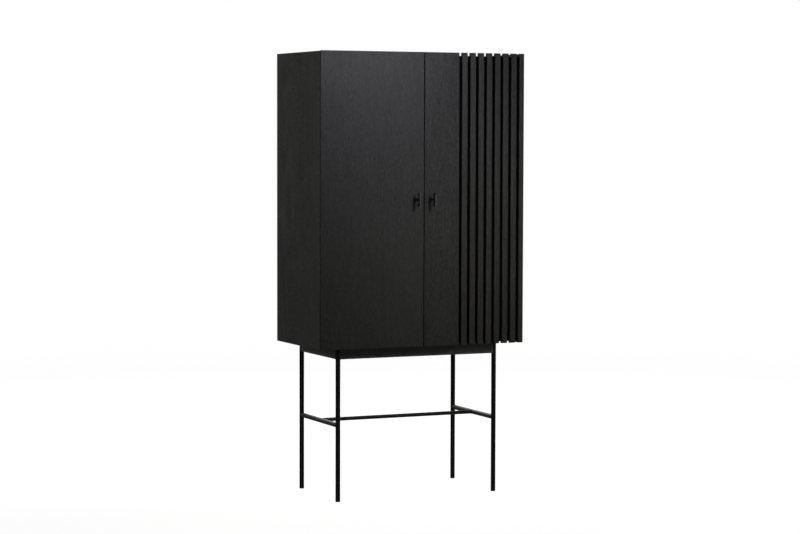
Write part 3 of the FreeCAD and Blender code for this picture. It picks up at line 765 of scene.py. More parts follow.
class Workshop:
    """Holds the shared effects and finishes, and makes pieces from meshes and node trees."""

    def __init__(self, nodes: dict[str, bpy.types.Object]) -> None:
        """Builds the effects and the finishes that many pieces share.

        Args:
            nodes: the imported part's objects, by name.
        """
        self.nodes = nodes
        self.effects = Effects()
        coats = (FRAME_COAT, APRON_COAT_PAINTED_FILL, KNOB_COAT, HINGE_STEEL, ZINC_STEEL, CATCH_PLASTIC, FOOT_PLASTIC)
        self.finishes = {coat.name: coat.material(self.effects) for coat in coats}
        self.screw_tree = self._screw_tree()
        self.bead_tree = self._bead_tree()

    def dress(self, node: str, material: bpy.types.Material) -> None:
        """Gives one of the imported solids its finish.

        Args:
            node: the solid's name.
            material: the finish.
        """
        for slot in self.nodes[node].material_slots:
            slot.material = material
        LOG.info("dressed %s with %s", node, material.name)

    def dress_board(self, wood: StainedWood, grain: Grain, *nodes: str, tone: float = 0.0) -> None:
        """Gives boards their wood, each with grain of its own.

        Args:
            wood: the finish.
            grain: the way the grain runs.
            nodes: the boards' names.
            tone: how much lighter or darker they are, as a share.
        """
        for node in nodes:
            self.dress(node, wood.board(self.effects, node, grain, tone))

    def dress_all(self, finish: str, *nodes: str) -> None:
        """Gives several solids one shared finish."""
        for node in nodes:
            self.dress(node, self.finishes[finish])

    def piece(self, name: str, shape: bmesh.types.BMesh | bpy.types.Mesh, finish: str, body: str,
              stands_for: Sequence[str] = ()) -> bpy.types.Object:
        """Makes a finished piece that rides on a body.

        Args:
            name: the piece's name.
            shape: its mesh, in place.
            finish: the name of its finish, which is the record's slot too.
            body: the body that it rides on.
            stands_for: the solids that it replaces.

        Returns:
            The piece.
        """
        mesh = as_mesh(name, shape) if isinstance(shape, bmesh.types.BMesh) else shape
        mesh.materials.clear()
        mesh.materials.append(self.finishes[finish])
        item = stand(name, mesh)
        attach(item, body)
        if stands_for:
            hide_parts(*stands_for)
        LOG.info("made %s on %s: %d faces", name, body, len(mesh.polygons))
        return item

    def grown(self, tree: bpy.types.NodeTree, base: bpy.types.Mesh, values: dict[str, Any]) -> bpy.types.Mesh:
        """Runs a geometry tree on a base mesh.

        Args:
            tree: the geometry tree.
            base: the mesh that it starts from.
            values: its named inputs.

        Returns:
            The result as a plain mesh.
        """
        source = stand("base", base)
        modifier = source.modifiers.new(tree.name, "NODES")
        modifier.node_group = tree
        for item in tree.interface.items_tree:
            if item.item_type == "SOCKET" and item.in_out == "INPUT" and item.name in values:
                modifier[item.identifier] = values[item.name]
        graph = bpy.context.evaluated_depsgraph_get()
        mesh = bpy.data.meshes.new_from_object(source.evaluated_get(graph))
        bpy.data.objects.remove(source)
        return mesh

    @staticmethod
    def _new_tree(name: str, inputs: dict[str, tuple[str, Any]]) -> tuple[Sheet, bpy.types.NodeOutputs]:
        """Makes an empty geometry tree.

        Args:
            name: the tree's name.
            inputs: each input's name, socket type and default.

        Returns:
            The sheet and the tree's inputs.
        """
        tree = bpy.data.node_groups.new(name, "GeometryNodeTree")
        tree.interface.new_socket(name="Geometry", in_out="INPUT", socket_type="NodeSocketGeometry")
        for label, (kind, default) in inputs.items():
            socket = tree.interface.new_socket(name=label, in_out="INPUT", socket_type=kind)
            if default is not None:
                socket.default_value = default
        tree.interface.new_socket(name="Geometry", in_out="OUTPUT", socket_type="NodeSocketGeometry")
        sheet = Sheet(tree)
        return sheet, sheet.add("NodeGroupInput").outputs

    @staticmethod
    def _end_tree(sheet: Sheet, geometry: bpy.types.NodeSocket, finish: bpy.types.NodeSocket) -> None:
        """Ends a geometry tree with real meshes in their finish.

        Args:
            sheet: the tree's sheet.
            geometry: what the tree made.
            finish: the material's socket.
        """
        whole = sheet.add("GeometryNodeRealizeInstances", {0: geometry})
        dressed = sheet.add("GeometryNodeSetMaterial", {0: whole.outputs[0], "Material": finish})
        sheet.add("NodeGroupOutput", {"Geometry": dressed.outputs[0]})

    def _screw_tree(self) -> bpy.types.NodeTree:
        """Makes the tree that sets a screw on each point, facing as the point says.

        Returns:
            The tree.
        """
        inputs = {
            "Screw": ("NodeSocketObject", None),
            "Size": ("NodeSocketFloat", 1.0),
            "Turn seed": ("NodeSocketInt", 7),
            "Finish": ("NodeSocketMaterial", None),
        }
        sheet, given = self._new_tree("screws_on_points", inputs)
        facing = sheet.add("GeometryNodeInputNamedAttribute", {"Name": "facing"}, data_type="FLOAT_VECTOR")
        aimed = sheet.add("FunctionNodeAlignRotationToVector", {"Vector": facing.outputs[0]}, axis="Z")
        values = {3: math.tau, "Seed": given["Turn seed"]}
        chance = sheet.add("FunctionNodeRandomValue", values, data_type="FLOAT")
        values = {"Axis": tuple(UP), "Angle": chance.outputs[1]}
        turn = sheet.add("FunctionNodeAxisAngleToRotation", values)
        values = {"Rotation": aimed.outputs[0], "Rotate By": turn.outputs[0]}
        turned = sheet.add("FunctionNodeRotateRotation", values, rotation_space="LOCAL")
        screw = sheet.add("GeometryNodeObjectInfo", {"Object": given["Screw"], "As Instance": True})
        values = {
            "Points": given["Geometry"],
            "Instance": screw.outputs["Geometry"],
            "Rotation": turned.outputs[0],
            "Scale": given["Size"],
        }
        placed = sheet.add("GeometryNodeInstanceOnPoints", values)
        self._end_tree(sheet, placed.outputs[0], given["Finish"])
        return sheet.tree

    def _bead_tree(self) -> bpy.types.NodeTree:
        """Makes the tree that lays a rippled weld bead along lines.

        Returns:
            The tree.
        """
        inputs = {
            "Bead radius": ("NodeSocketFloat", 0.0012),
            "Step": ("NodeSocketFloat", 0.0005),
            "Ripple pitch": ("NodeSocketFloat", 0.0021),
            "Ripple": ("NodeSocketFloat", 0.12),
            "Sides": ("NodeSocketInt", 8),
            "Finish": ("NodeSocketMaterial", None),
        }
        sheet, given = self._new_tree("weld_bead_on_lines", inputs)
        line = sheet.add("GeometryNodeMeshToCurve", {"Mesh": given["Geometry"]})
        stepped = sheet.add("GeometryNodeResampleCurve", mode="LENGTH")
        sheet.feed(stepped.inputs["Curve"], line.outputs[0])
        sheet.feed(stepped.inputs["Length"], given["Step"])
        run = sheet.add("GeometryNodeSplineParameter").outputs["Length"]
        phase = sheet.math("MULTIPLY", sheet.math("DIVIDE", run, given["Ripple pitch"]), math.tau)
        swell = sheet.weighed(sheet.math("SINE", phase), given["Ripple"], 1.0)
        thick = sheet.math("MULTIPLY", swell, given["Bead radius"])
        ring = sheet.add("GeometryNodeCurvePrimitiveCircle", {"Resolution": given["Sides"], "Radius": 1.0})
        values = {
            "Curve": stepped.outputs[0],
            "Profile Curve": ring.outputs[0],
            "Scale": thick,
            "Fill Caps": True,
        }
        tube = sheet.add("GeometryNodeCurveToMesh", values)
        smooth = sheet.add("GeometryNodeSetShadeSmooth", {"Geometry": tube.outputs[0]})
        self._end_tree(sheet, smooth.outputs[0], given["Finish"])
        return sheet.tree


@dataclass(frozen=True)
class Screw:
    """A screw, in millimetres, with its head's face at the origin and facing up."""

    head_radius: float
    head_height: float
    shank_radius: float
    length: float
    recess: Recess
    sunk: bool = True
    segments: int = 32
    tip_radius: ClassVar[float] = 0.2
    tip_length: ClassVar[float] = 2.2
    rim_ease: ClassVar[float] = 0.06
    under_head: ClassVar[float] = 0.96
    crown: ClassVar[tuple[tuple[float, float], ...]] = (
        (1.0, -0.94), (1.0, -0.45), (0.93, -0.2), (0.8, -0.06), (0.66, 0.0),
    )
    recess_depth: ClassVar[float] = 0.55
    recess_taper: ClassVar[float] = 0.8
    recess_point: ClassVar[float] = 1.1
    turn_seed: ClassVar[int] = 7

    def rings(self) -> list[tuple[float, float]]:
        """Gives the screw's outline from its tip to the rim of its face.

        Returns:
            Radius and height of each ring.
        """
        head, shank = self.head_radius, self.shank_radius
        low, neck = -self.length, -self.head_height
        shaft = [(self.tip_radius * shank, low), (shank, low + self.tip_length * shank), (shank, neck)]
        if self.sunk:
            ease = self.rim_ease * head
            return [*shaft, (head, -2.0 * ease), (head, -ease), (head - ease, 0.0)]
        dome = [(share * head, level * self.head_height) for share, level in self.crown]
        return [*shaft, (self.under_head * head, neck), *dome]

    def mesh(self, name: str) -> bpy.types.Mesh:
        """Makes the screw's mesh.

        Args:
            name: the mesh's name.

        Returns:
            A closed mesh in metres.
        """
        shape = bmesh.new()
        angles = [math.tau * index / self.segments for index in range(self.segments)]
        depth = self.recess_depth * self.head_height
        loops = [[(radius, height)] * self.segments for radius, height in self.rings()]
        reach = [self.recess.radius(angle) * self.head_radius for angle in angles]
        loops.append([(radius, 0.0) for radius in reach])
        loops.append([(self.recess_taper * radius, -depth) for radius in reach])
        rows = []
        for loop in loops:
            spots = [metres(r * math.cos(a), r * math.sin(a), z) for (r, z), a in zip(loop, angles)]
            rows.append([shape.verts.new(spot) for spot in spots])
        for lower, upper in zip(rows, rows[1:]):
            for index in range(self.segments):
                after = (index + 1) % self.segments
                shape.faces.new((lower[index], lower[after], upper[after], upper[index]))
        shape.faces.new(list(reversed(rows[0])))
        floor = shape.verts.new(metres(0.0, 0.0, -self.recess_point * depth))
        for index in range(self.segments):
            shape.faces.new((rows[-1][index], rows[-1][(index + 1) % self.segments], floor))
        bmesh.ops.recalc_face_normals(shape, faces=shape.faces[:])
        return as_mesh(name, shape)

    def set_on(self, shop: Workshop, name: str, spots: Sequence[Spot], finish: str, body: str,
               stands_for: Sequence[str] = ()) -> bpy.types.Object:
        """Sets screws on points as one piece.

        Args:
            shop: the workshop with the screw tree.
            name: the piece's name.
            spots: the middle of each face and the way that it faces.
            finish: the name of the screws' finish.
            body: the body that they ride on.
            stands_for: the solids that they replace.

        Returns:
            The piece.
        """
        base = bpy.data.meshes.new(f"{name}_points")
        base.from_pydata([tuple(place) for place, _ in spots], [], [])
        facing = base.attributes.new("facing", "FLOAT_VECTOR", "POINT")
        for entry, (_, way) in zip(facing.data, spots):
            entry.vector = way
        sample = stand(f"{name}_sample", self.mesh(f"{name}_sample"))
        values = {"Screw": sample, "Size": 1.0, "Turn seed": self.turn_seed, "Finish": shop.finishes[finish]}
        mesh = shop.grown(shop.screw_tree, base, values)
        bpy.data.objects.remove(sample)
        return shop.piece(name, mesh, finish, body, stands_for)


def eased_block(shape: bmesh.types.BMesh, low: Vector, high: Vector, ease: float, segments: int = 3) -> None:
    """Adds a block with rounded edges to a mesh.

    Args:
        shape: the mesh that is added to.
        low: the block's lowest corner, in metres.
        high: its highest corner.
        ease: the rounding's radius, in metres.
        segments: the rounding's steps.
    """
    place = Matrix.Translation((low + high) / 2) @ Matrix.Diagonal((*(high - low), 1.0))
    made = bmesh.ops.create_cube(shape, size=1.0, matrix=place)["verts"]
    edges = list({edge for vert in made for edge in vert.link_edges})
    bmesh.ops.bevel(shape, geom=edges, offset=ease, segments=segments, profile=0.5, affect="EDGES")


@dataclass
class CaseShell:
    """The case: sides, top, bottom, back, shelves and the rack for stemware."""

    shop: Workshop
    back_screw: Screw = Screw(3.0, 2.0, 1.4, 12.0, Recess.CROSS)
    runner_screw: Screw = Screw(3.4, 2.2, 1.6, 24.0, Recess.CROSS)
    side_row: int = 8
    level_row: int = 6
    edge_inset: float = 4.5
    head_lift: float = 0.05
    runner_spots: tuple[float, ...] = (-100.0, 31.0, 162.0)
    runner_places: tuple[float, ...] = (-208.0, -104.0, 0.0, 104.0, 208.0)

    def build(self) -> None:
        """Dresses the boards and adds the screws."""
        self.dress()
        self.back_screws()
        self.runner_screws()

    def dress(self) -> None:
        """Gives every board of the case its wood."""
        shop = self.shop
        shop.dress_board(SIDE_WOOD, Grain.UPRIGHT, "left_side_panel", "right_side_panel")
        shop.dress_board(CASE_WOOD, Grain.ACROSS, "top_panel", "bottom_panel", "wall_fixing_rail")
        shop.dress_board(BACK_BOARD, Grain.UPRIGHT, "back_panel")
        shop.dress_board(SHELF_WOOD, Grain.ACROSS, "lower_shelf", "upper_shelf")
        shop.dress_board(SHELF_WOOD, Grain.DEEP, "stemware_spacers", "stemware_strips")
        shop.dress_board(DOWEL_WOOD, Grain.ACROSS, "panel_dowels")
        shop.dress_all("zinc_steel", "shelf_pins")

    def back_screws(self) -> None:
        """Sets the screws round the edge of the back panel."""
        low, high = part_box("back_panel")
        inset = self.edge_inset * MM
        spots = []
        for index in range(self.side_row):
            z = low.z + (high.z - low.z) * (index + 0.5) / self.side_row
            spots += [Vector((low.x + inset, high.y, z)), Vector((high.x - inset, high.y, z))]
        levels = (low.z + inset, high.z - inset)
        for index in range(self.level_row):
            x = low.x + (high.x - low.x) * (index + 0.5) / self.level_row
            spots += [Vector((x, high.y, z)) for z in levels]
        places = [(spot + BACK * self.head_lift * MM, BACK) for spot in spots]
        self.back_screw.set_on(self.shop, "back_panel_screws", places, "zinc_steel", "case")

    def runner_screws(self) -> None:
        """Sets the screws that hold each stemware strip up."""
        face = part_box("stemware_strips")[0].z - self.head_lift * MM
        places = [(Vector((x * MM, y * MM, face)), -UP)
                  for x in self.runner_places for y in self.runner_spots]
        self.runner_screw.set_on(self.shop, "stemware_strip_screws", places, "zinc_steel", "case")


@dataclass
class HingedDoor:
    """One door: its boards, knob, continuous hinge and strike plate."""

    shop: Workshop
    door: Door
    # The right door's front takes the darker copy of the front wood, which is painted shade.
    front_woods: ClassVar[dict[Door, StainedWood]] = {
        Door.LEFT: LEFT_FRONT_WOOD,
        Door.RIGHT: RIGHT_FRONT_WOOD_PAINTED_SHADE,
    }
    slat_tones: tuple[float, ...] = (-0.03, -0.05, 0.02, 0.07, -0.03, 0.0, 0.05, -0.06)
    hinge_screw: Screw = Screw(2.4, 1.3, 1.2, 8.0, Recess.CROSS)
    knob_screw: Screw = Screw(4.0, 2.6, 2.0, 29.0, Recess.CROSS)
    plate_screw: Screw = Screw(2.3, 1.2, 1.1, 10.0, Recess.CROSS)
    hinge_screws: int = 6
    hinge_lift: float = 0.04
    plate_screw_apart: float = 9.5
    plate_lift: float = 0.03
    plate_ease: float = 0.45

    def build(self) -> None:
        """Dresses the door and adds its small pieces."""
        self.dress()
        self.set_hinge_screws()
        self.set_knob_screw()
        self.strike_plate()

    def dress(self) -> None:
        """Gives the door's boards and fittings their finishes."""
        shop, word = self.shop, self.door.word
        # The door panel is near-black: painted shade in the slat grooves and the door gap.
        shop.dress_board(SHADE_BLACK_CORE_WOOD, Grain.UPRIGHT, f"{word}_door_panel")
        shop.dress_board(self.front_woods[self.door], Grain.UPRIGHT, f"{word}_door_front")
        shop.dress_all("knob_metal", f"{word}_knob_stem", f"{word}_knob_bar")
        leaves = [f"{word}_{side}_hinge_leaf" for side in ("door", "case")]
        shop.dress_all("hinge_steel", *leaves, f"{word}_hinge_pin")
        if self.door is Door.RIGHT:
            for number, tone in enumerate(self.slat_tones, 1):
                shop.dress_board(SLAT_WOOD, Grain.UPRIGHT, f"{word}_door_slat_{number}", tone=tone)

    def hinge_spots(self, node: str, way: Vector) -> list[Spot]:
        """Gives the places of one leaf's screws.

        Args:
            node: the plain screws, whose tips lie in the corner of their box.
            way: the way that the heads face, at half a square turn.

        Returns:
            The middle of each head and the way that it faces.
        """
        box, screw = Extent.of(node), self.hinge_screw
        x = box.high.x if way.x < 0.0 else box.low.x
        y = box.high.y if way.y < 0.0 else box.low.y
        first = Vector((x, y, box.low.z + screw.head_radius))
        first += way * (screw.length + screw.shank_radius + self.hinge_lift)
        step = UP * 2.0 * (box.half.z - screw.head_radius) / (self.hinge_screws - 1)
        return [((first + step * index) * MM, way) for index in range(self.hinge_screws)]

    def case_hinge_spots(self) -> list[Spot]:
        """Gives the places of the screws in the case's leaf."""
        return self.hinge_spots("case_hinge_screws", Vector((-self.door.value, -1.0, 0.0)) * SQUARE_HALF)

    def set_hinge_screws(self) -> None:
        """Sets the screws of the door's leaf."""
        name = f"{self.door.body}_hinge_screws"
        spots = self.hinge_spots(name, Vector((self.door.value, 1.0, 0.0)) * SQUARE_HALF)
        self.hinge_screw.set_on(self.shop, f"{name}_cross", spots, "hinge_steel", self.door.body, [name])

    def set_knob_screw(self) -> None:
        """Sets the screw that holds the knob, in the back of the door."""
        name = f"{self.door.word}_knob_screw"
        box = Extent.of(name)
        spots = [(metres(box.middle.x, box.high.y, box.middle.z), BACK)]
        self.knob_screw.set_on(self.shop, f"{name}_cross", spots, "zinc_steel", self.door.body, [name])

    def strike_plate(self) -> None:
        """Makes the plate that the catch holds, with its two screws."""
        name = f"{self.door.word}_strike_plate"
        low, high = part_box(name)
        shape = bmesh.new()
        eased_block(shape, low, high, self.plate_ease * MM)
        self.shop.piece(f"{name}_eased", shape, "zinc_steel", self.door.body, [name])
        middle = (low + high) / 2
        face = high.y + self.plate_lift * MM
        spots = [(Vector((middle.x + side * self.plate_screw_apart * MM, face, middle.z)), BACK)
                 for side in (-1, 1)]
        self.plate_screw.set_on(self.shop, f"{name}_screws", spots, "zinc_steel", self.door.body)


@dataclass
class MagneticCatches:
    """The catches under the top panel: housings, steel pole plates and screws."""

    shop: Workshop
    width: float = 36.0
    ear: float = 7.5
    ear_height: float = 4.0
    pole_thick: float = 1.6
    pole_apart: float = 5.0
    pole_reach: float = 1.0
    pole_inset: float = 2.0
    pole_short: float = 3.0
    pole_ease: float = 0.3
    pole_steps: int = 2
    ear_behind: float = 3.0
    ear_short: float = 2.0
    housing_ease: float = 0.9
    screw_shift: float = 0.5
    screw: Screw = Screw(2.6, 1.6, 1.2, 12.0, Recess.CROSS, sunk=False)

    def build(self) -> None:
        """Makes the housings, the plates and the screws."""
        low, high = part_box("magnetic_catches")
        housings, poles, spots = bmesh.new(), bmesh.new(), []
        front, middle_z = low.y + self.pole_reach * MM, (low.z + high.z) / 2
        ear, ear_low = self.ear * MM, high.z - self.ear_height * MM
        ease, half = self.housing_ease * MM, self.pole_thick / 2 * MM
        reach = (self.ear + self.pole_inset) * MM
        for start in (low.x, high.x - self.width * MM):
            end = start + self.width * MM
            eased_block(
                housings, Vector((start + ear, front, low.z)), Vector((end - ear, high.y, high.z)), ease)
            eased_block(housings, Vector((start, front + self.ear_behind * MM, ear_low)),
                        Vector((end, high.y - self.ear_short * MM, high.z)), ease)
            for side in (-1, 1):
                plate_z = middle_z + side * self.pole_apart / 2 * MM
                eased_block(poles, Vector((start + reach, low.y, plate_z - half)),
                            Vector((end - reach, high.y - self.pole_short * MM, plate_z + half)),
                            self.pole_ease * MM, self.pole_steps)
            deep = (front + high.y) / 2 + self.screw_shift * MM
            face = ear_low - self.screw.head_height * MM
            spots += [(Vector((x, deep, face)), -UP) for x in (start + 0.5 * ear, end - 0.5 * ear)]
        self.shop.piece("magnetic_catch_housings", housings, "catch_plastic", "case", ["magnetic_catches"])
        self.shop.piece("catch_pole_plates", poles, "zinc_steel", "case")
        self.screw.set_on(self.shop, "catch_screws", spots, "zinc_steel", "case")


@dataclass
class BaseFrame:
    """The welded steel frame under the case."""

    shop: Workshop
    front_leg: Extent = measured("front_right_leg")
    rear_leg: Extent = measured("rear_right_leg")
    apron: Extent = measured("front_apron")
    long_stretcher: Extent = measured("long_stretcher")
    side_panel: Extent = measured("left_side_panel")
    plain_screws: Extent = measured("frame_screws")
    bead_radius: float = 1.1
    bead_lift: float = 0.35
    loop_steps: int = 48
    apron_steps: tuple[float, ...] = (-1.0, -0.75, -0.4, 0.0, 0.4, 0.75, 1.0)
    frame_screw: Screw = Screw(5.0, 3.5, 2.5, 15.4, Recess.HEX, sunk=False)

    def build(self) -> None:
        """Dresses the frame and adds its weld beads and screws."""
        tubes = [f"{end}_{side}_leg" for end in ("front", "rear") for side in ("left", "right")]
        tubes += [f"{place}_stretcher" for place in ("left", "right", "long")]
        self.shop.dress_all("frame_steel", *tubes, "corner_tabs")
        # The aprons take the lighter copy of the frame's coat, which is painted fill light.
        aprons = [f"{place}_apron" for place in ("front", "rear", "left", "right")]
        self.shop.dress_all("frame_steel_flats", *aprons)
        self.shop.dress_all("foot_plastic", "foot_glides")
        self.weld_beads()
        self.set_screws()

    def tube_loop(
        self, middle: Vector, out: Vector, side: Vector, radius: float, round_radius: float
    ) -> list[Vector]:
        """Follows the line where one round tube meets another.

        Args:
            middle: where the tubes' middle lines cross, in millimetres.
            out: the way that the ending tube runs.
            side: the way across both tubes.
            radius: the ending tube's radius.
            round_radius: the radius of the tube that it ends on.

        Returns:
            The line's points, in millimetres.
        """
        along = out.cross(side)
        points = []
        for step in range(self.loop_steps):
            angle = math.tau * step / self.loop_steps
            across = radius * math.sin(angle)
            reach = math.sqrt(max(round_radius**2 - across**2, 0.0)) + self.bead_lift
            points.append(middle + out * reach + side * across + along * radius * math.cos(angle))
        return points

    def apron_line(self, corner: Vector, out: Vector, side: Vector) -> list[Vector]:
        """Follows the line where an apron meets a leg: down one face, under, and up the other.

        Args:
            corner: the leg's middle at floor level, in millimetres.
            out: the way that the apron runs from the leg.
            side: the way across the apron.

        Returns:
            The line's points, in millimetres.
        """
        spread = [self.apron.half.y * share for share in self.apron_steps]
        reach = [math.sqrt(self.front_leg.half.x**2 - across**2) + self.bead_lift for across in spread]
        low = UP * self.apron.low.z
        rise = UP * self.side_panel.low.z - low
        under = [corner + out * far + side * across + low for far, across in zip(reach, spread)]
        return [under[0] + rise, *under, under[-1] + rise]

    def weld_lines(self) -> tuple[list[list[Vector]], list[list[Vector]]]:
        """Gathers the lines of all welds.

        Returns:
            The closed lines round tubes and the open lines along aprons.
        """
        loops, lines = [], []
        radius, cross = self.front_leg.half.x, self.long_stretcher.middle
        for sign in (-1, 1):
            for leg, inward in ((self.front_leg, 1), (self.rear_leg, -1)):
                corner = Vector((sign * leg.middle.x, leg.middle.y, 0.0))
                loops.append(self.tube_loop(corner + UP * cross.z, BACK * inward, RIGHT, radius, radius))
                lines.append(self.apron_line(corner, -RIGHT * sign, BACK))
                lines.append(self.apron_line(corner, BACK * inward, RIGHT))
            joint = Vector((sign * self.front_leg.middle.x, cross.y, cross.z))
            loops.append(self.tube_loop(joint, -RIGHT * sign, UP, self.long_stretcher.half.y, radius))
        return loops, lines

    def weld_beads(self) -> None:
        """Lays the beads along all weld lines as one piece."""
        loops, lines = self.weld_lines()
        points, edges = [], []
        for chain, closed in [(loop, True) for loop in loops] + [(line, False) for line in lines]:
            first = len(points)
            points += [tuple(point * MM) for point in chain]
            edges += [(first + index, first + index + 1) for index in range(len(chain) - 1)]
            if closed:
                edges.append((len(points) - 1, first))
        base = bpy.data.meshes.new("weld_lines")
        base.from_pydata(points, edges, [])
        values = {"Bead radius": self.bead_radius * MM, "Finish": self.shop.finishes["frame_steel"]}
        mesh = self.shop.grown(self.shop.bead_tree, base, values)
        self.shop.piece("frame_weld_beads", mesh, "frame_steel", "case")

    def set_screws(self) -> None:
        """Sets the screws that hold the frame to the case."""
        box, reach = self.plain_screws, self.frame_screw.head_radius
        spots = [(metres(sign * (box.high.x - reach), y, box.low.z), -UP)
                 for sign in (-1, 1) for y in (box.low.y + reach, box.high.y - reach)]
        self.frame_screw.set_on(self.shop, "frame_screws_hex", spots, "zinc_steel", "case", ["frame_screws"])


KEY_PLACE: Point = (0.7, -2.2, 2.15)


@dataclass(frozen=True)
class Lamp:
    """A soft lamp of the studio, in metres."""

    name: str
    place: Point
    aim: Point
    width: float
    height: float
    power: float
    spread: float = 180.0
    colour: Colour = WHITE
    mirrored: bool = True
    spread_light: bool = True


@dataclass
class Studio:
    """Floor, lamps, backdrop and camera."""

    lamps: tuple[Lamp, ...] = (
        Lamp("crown_lamp", KEY_PLACE, (-0.25, -0.19, 1.85), 0.3, 0.3, 0.78, 28.0, (1.0, 0.965, 0.99)),
        Lamp("key_lamp", KEY_PLACE, (-0.15, -0.19, 1.3), 0.16, 0.16, 0.95, 40.0, (0.73, 0.74, 1.0)),
        Lamp("low_lamp", KEY_PLACE, (0.0, -0.19, 0.9), 0.8, 0.8, 1.21, 50.0, (1.0, 0.95, 0.64)),
        Lamp("slat_lamp", KEY_PLACE, (0.38, -0.19, 0.95), 0.9, 0.9, 0.57, 22.0, (0.93, 1.0, 0.98)),
        Lamp("rim_lamp", (2.6, -1.1, 1.05), (0.0, -0.2, 1.05), 0.8, 1.4, 1.6, 60.0, spread_light=False),
        Lamp("left_lamp", (-3.0, -0.2, 1.95), (-0.4, 0.05, 1.3), 1.2, 1.2, 4.6, 46.0, mirrored=False),
        Lamp("right_lamp", (3.4, 0.6, 2.2), (0.4, 0.0, 1.0), 2.0, 1.6, 52.0),
        Lamp("back_lamp", (0.6, 3.4, 2.4), (0.0, 0.2, 1.0), 2.2, 1.6, 45.0),
    )
    ambient: float = 0.08
    glossy_front: float = 0.03
    glossy_back: float = 0.72
    back_fade: tuple[float, float] = (-0.3, 0.7)
    sky_fade: tuple[float, float] = (0.02, 0.3)
    floor_radius: float = 7.0
    floor_segments: int = 96
    floor_fade: tuple[float, float] = (2.2, 6.2)
    floor_glow: float = 0.93
    floor_mirrored: float = 0.06
    floor_colour: Colour = (0.45, 0.45, 0.45)
    floor_shade: Colour = (0.25, 0.25, 0.25)
    lens: float = 103.04
    sensor: float = 36.0
    camera_place: Point = (-3.48936, -7.59038, 1.32066)
    yaw: float = 0.43028
    pitch: float = 0.05934
    roll: float = 0.00266
    camera_range: float = 200.0

    def build(self) -> None:
        """Sets up the camera, the floor, the backdrop and the lamps."""
        bpy.context.scene.view_settings.view_transform = "Standard"
        self.make_camera()
        self.make_floor()
        self.make_backdrop()
        for lamp in self.lamps:
            self.make_lamp(lamp)

    def make_camera(self) -> None:
        """Stands the camera where the photograph was taken."""
        ahead = Vector((math.sin(self.yaw), math.cos(self.yaw), 0.0))
        right = Vector((math.cos(self.yaw), -math.sin(self.yaw), 0.0))
        forward = math.cos(self.pitch) * ahead - math.sin(self.pitch) * UP
        upward = math.sin(self.pitch) * ahead + math.cos(self.pitch) * UP
        across = math.cos(self.roll) * right + math.sin(self.roll) * upward
        upward = math.cos(self.roll) * upward - math.sin(self.roll) * right
        data = bpy.data.cameras.new("camera")
        data.lens = self.lens
        data.sensor_fit = "HORIZONTAL"
        data.sensor_width = self.sensor
        data.clip_end = self.camera_range
        camera = stand("camera", data)
        turn = Matrix((across, upward, -forward)).transposed().to_4x4()
        camera.matrix_world = Matrix.Translation(self.camera_place) @ turn
        bpy.context.scene.camera = camera

    def make_floor(self) -> None:
        """Makes a white floor that keeps a soft shadow and fades into the backdrop."""
        shape = bmesh.new()
        bmesh.ops.create_circle(
            shape, cap_ends=True, segments=self.floor_segments, radius=self.floor_radius)
        mesh = as_mesh("floor", shape)
        material = bpy.data.materials.new("floor_white")
        material.use_nodes = True
        sheet = Sheet(material.node_tree)
        material.node_tree.nodes.clear()
        direct, glossy = self.rays(sheet)
        seen = sheet.math("MAXIMUM", direct, sheet.math("MULTIPLY", glossy, self.floor_mirrored))
        matt = sheet.add("ShaderNodeBsdfDiffuse", {"Color": opaque(self.floor_colour)})
        shade = sheet.add("ShaderNodeBsdfDiffuse", {"Color": opaque(self.floor_shade)})
        glow = sheet.add("ShaderNodeEmission", {"Color": opaque(WHITE), "Strength": self.floor_glow})
        white = sheet.add("ShaderNodeAddShader", {0: shade.outputs[0], 1: glow.outputs[0]})
        mixed = sheet.add("ShaderNodeMixShader", {0: seen, 1: matt.outputs[0], 2: white.outputs[0]})
        place = sheet.add("ShaderNodeTexCoord").outputs["Object"]
        far = sheet.add("ShaderNodeVectorMath", {0: place}, operation="LENGTH").outputs["Value"]
        clear = sheet.add("ShaderNodeBsdfTransparent")
        fade = sheet.fade(far, *self.floor_fade)
        whole = sheet.add("ShaderNodeMixShader", {0: fade, 1: mixed.outputs[0], 2: clear.outputs[0]})
        sheet.add("ShaderNodeOutputMaterial", {"Surface": whole.outputs[0]})
        mesh.materials.append(material)
        floor = stand("floor", mesh)

    @staticmethod
    def rays(sheet: Sheet) -> tuple[bpy.types.NodeSocket, bpy.types.NodeSocket]:
        """Finds the rays that show the backdrop itself and those that mirror it.

        Args:
            sheet: the tree that asks.

        Returns:
            A socket that is 1 for camera and transmission rays, and one that is 1 for glossy rays.
        """
        path = sheet.add("ShaderNodeLightPath").outputs
        direct = sheet.math("MAXIMUM", path["Is Camera Ray"], path["Is Transmission Ray"])
        return direct, path["Is Glossy Ray"]

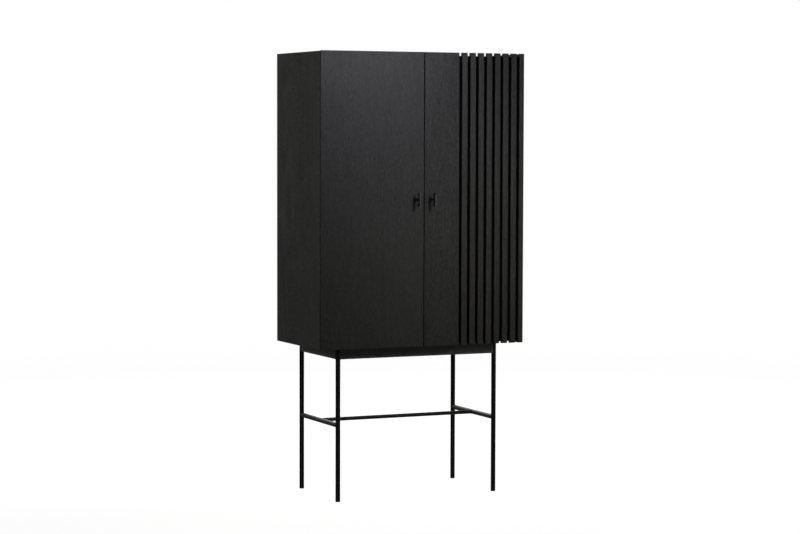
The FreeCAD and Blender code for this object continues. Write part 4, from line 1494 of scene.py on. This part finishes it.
    def make_backdrop(self) -> None:
        """Makes the world: white where it is seen, a plain soft light where it lights."""
        world = bpy.data.worlds.new("backdrop")
        world.use_nodes = True
        bpy.context.scene.world = world
        sheet = Sheet(world.node_tree)
        world.node_tree.nodes.clear()
        direct, glossy = self.rays(sheet)
        way = sheet.split(sheet.add("ShaderNodeTexCoord").outputs["Generated"])
        back, sky = sheet.fade(way["Y"], *self.back_fade), sheet.fade(way["Z"], *self.sky_fade)
        behind = sheet.math("MULTIPLY", back, sky)
        mirrored = sheet.fade(behind, 0.0, 1.0, self.glossy_front, self.glossy_back)
        strength = sheet.between(glossy, sheet.between(direct, self.ambient, 1.0), mirrored)
        light = sheet.add("ShaderNodeBackground", {"Color": opaque(WHITE), "Strength": strength})
        sheet.add("ShaderNodeOutputWorld", {"Surface": light.outputs[0]})

    @staticmethod
    def make_lamp(lamp: Lamp) -> None:
        """Hangs one lamp and aims it.

        Args:
            lamp: the lamp.
        """
        data = bpy.data.lights.new(lamp.name, "AREA")
        data.shape = "RECTANGLE"
        data.size = lamp.width
        data.size_y = lamp.height
        data.energy = lamp.power
        data.spread = math.radians(lamp.spread)
        data.color = lamp.colour
        item = stand(lamp.name, data)
        item.location = lamp.place
        item.rotation_euler = (Vector(lamp.aim) - Vector(lamp.place)).to_track_quat("-Z", "Y").to_euler()
        item.visible_camera = False
        item.visible_glossy = lamp.mirrored
        item.visible_diffuse = lamp.spread_light


def clear_scene() -> None:
    """Takes Blender's own starting objects out."""
    for item in list(bpy.data.objects):
        bpy.data.objects.remove(item)


def main() -> None:
    """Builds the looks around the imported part."""
    logging.basicConfig(level=logging.INFO, format="%(name)s: %(message)s")
    clear_scene()
    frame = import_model()
    shop = Workshop(frame["nodes"])
    CaseShell(shop).build()
    doors = [HingedDoor(shop, door) for door in Door]
    for door in doors:
        door.build()
    leaf_spots = [spot for door in doors for spot in door.case_hinge_spots()]
    doors[0].hinge_screw.set_on(
        shop, "case_hinge_screws_cross", leaf_spots, "hinge_steel", "case", ["case_hinge_screws"])
    MagneticCatches(shop).build()
    BaseFrame(shop).build()
    Studio().build()


if __name__ == "__main__":
    main()
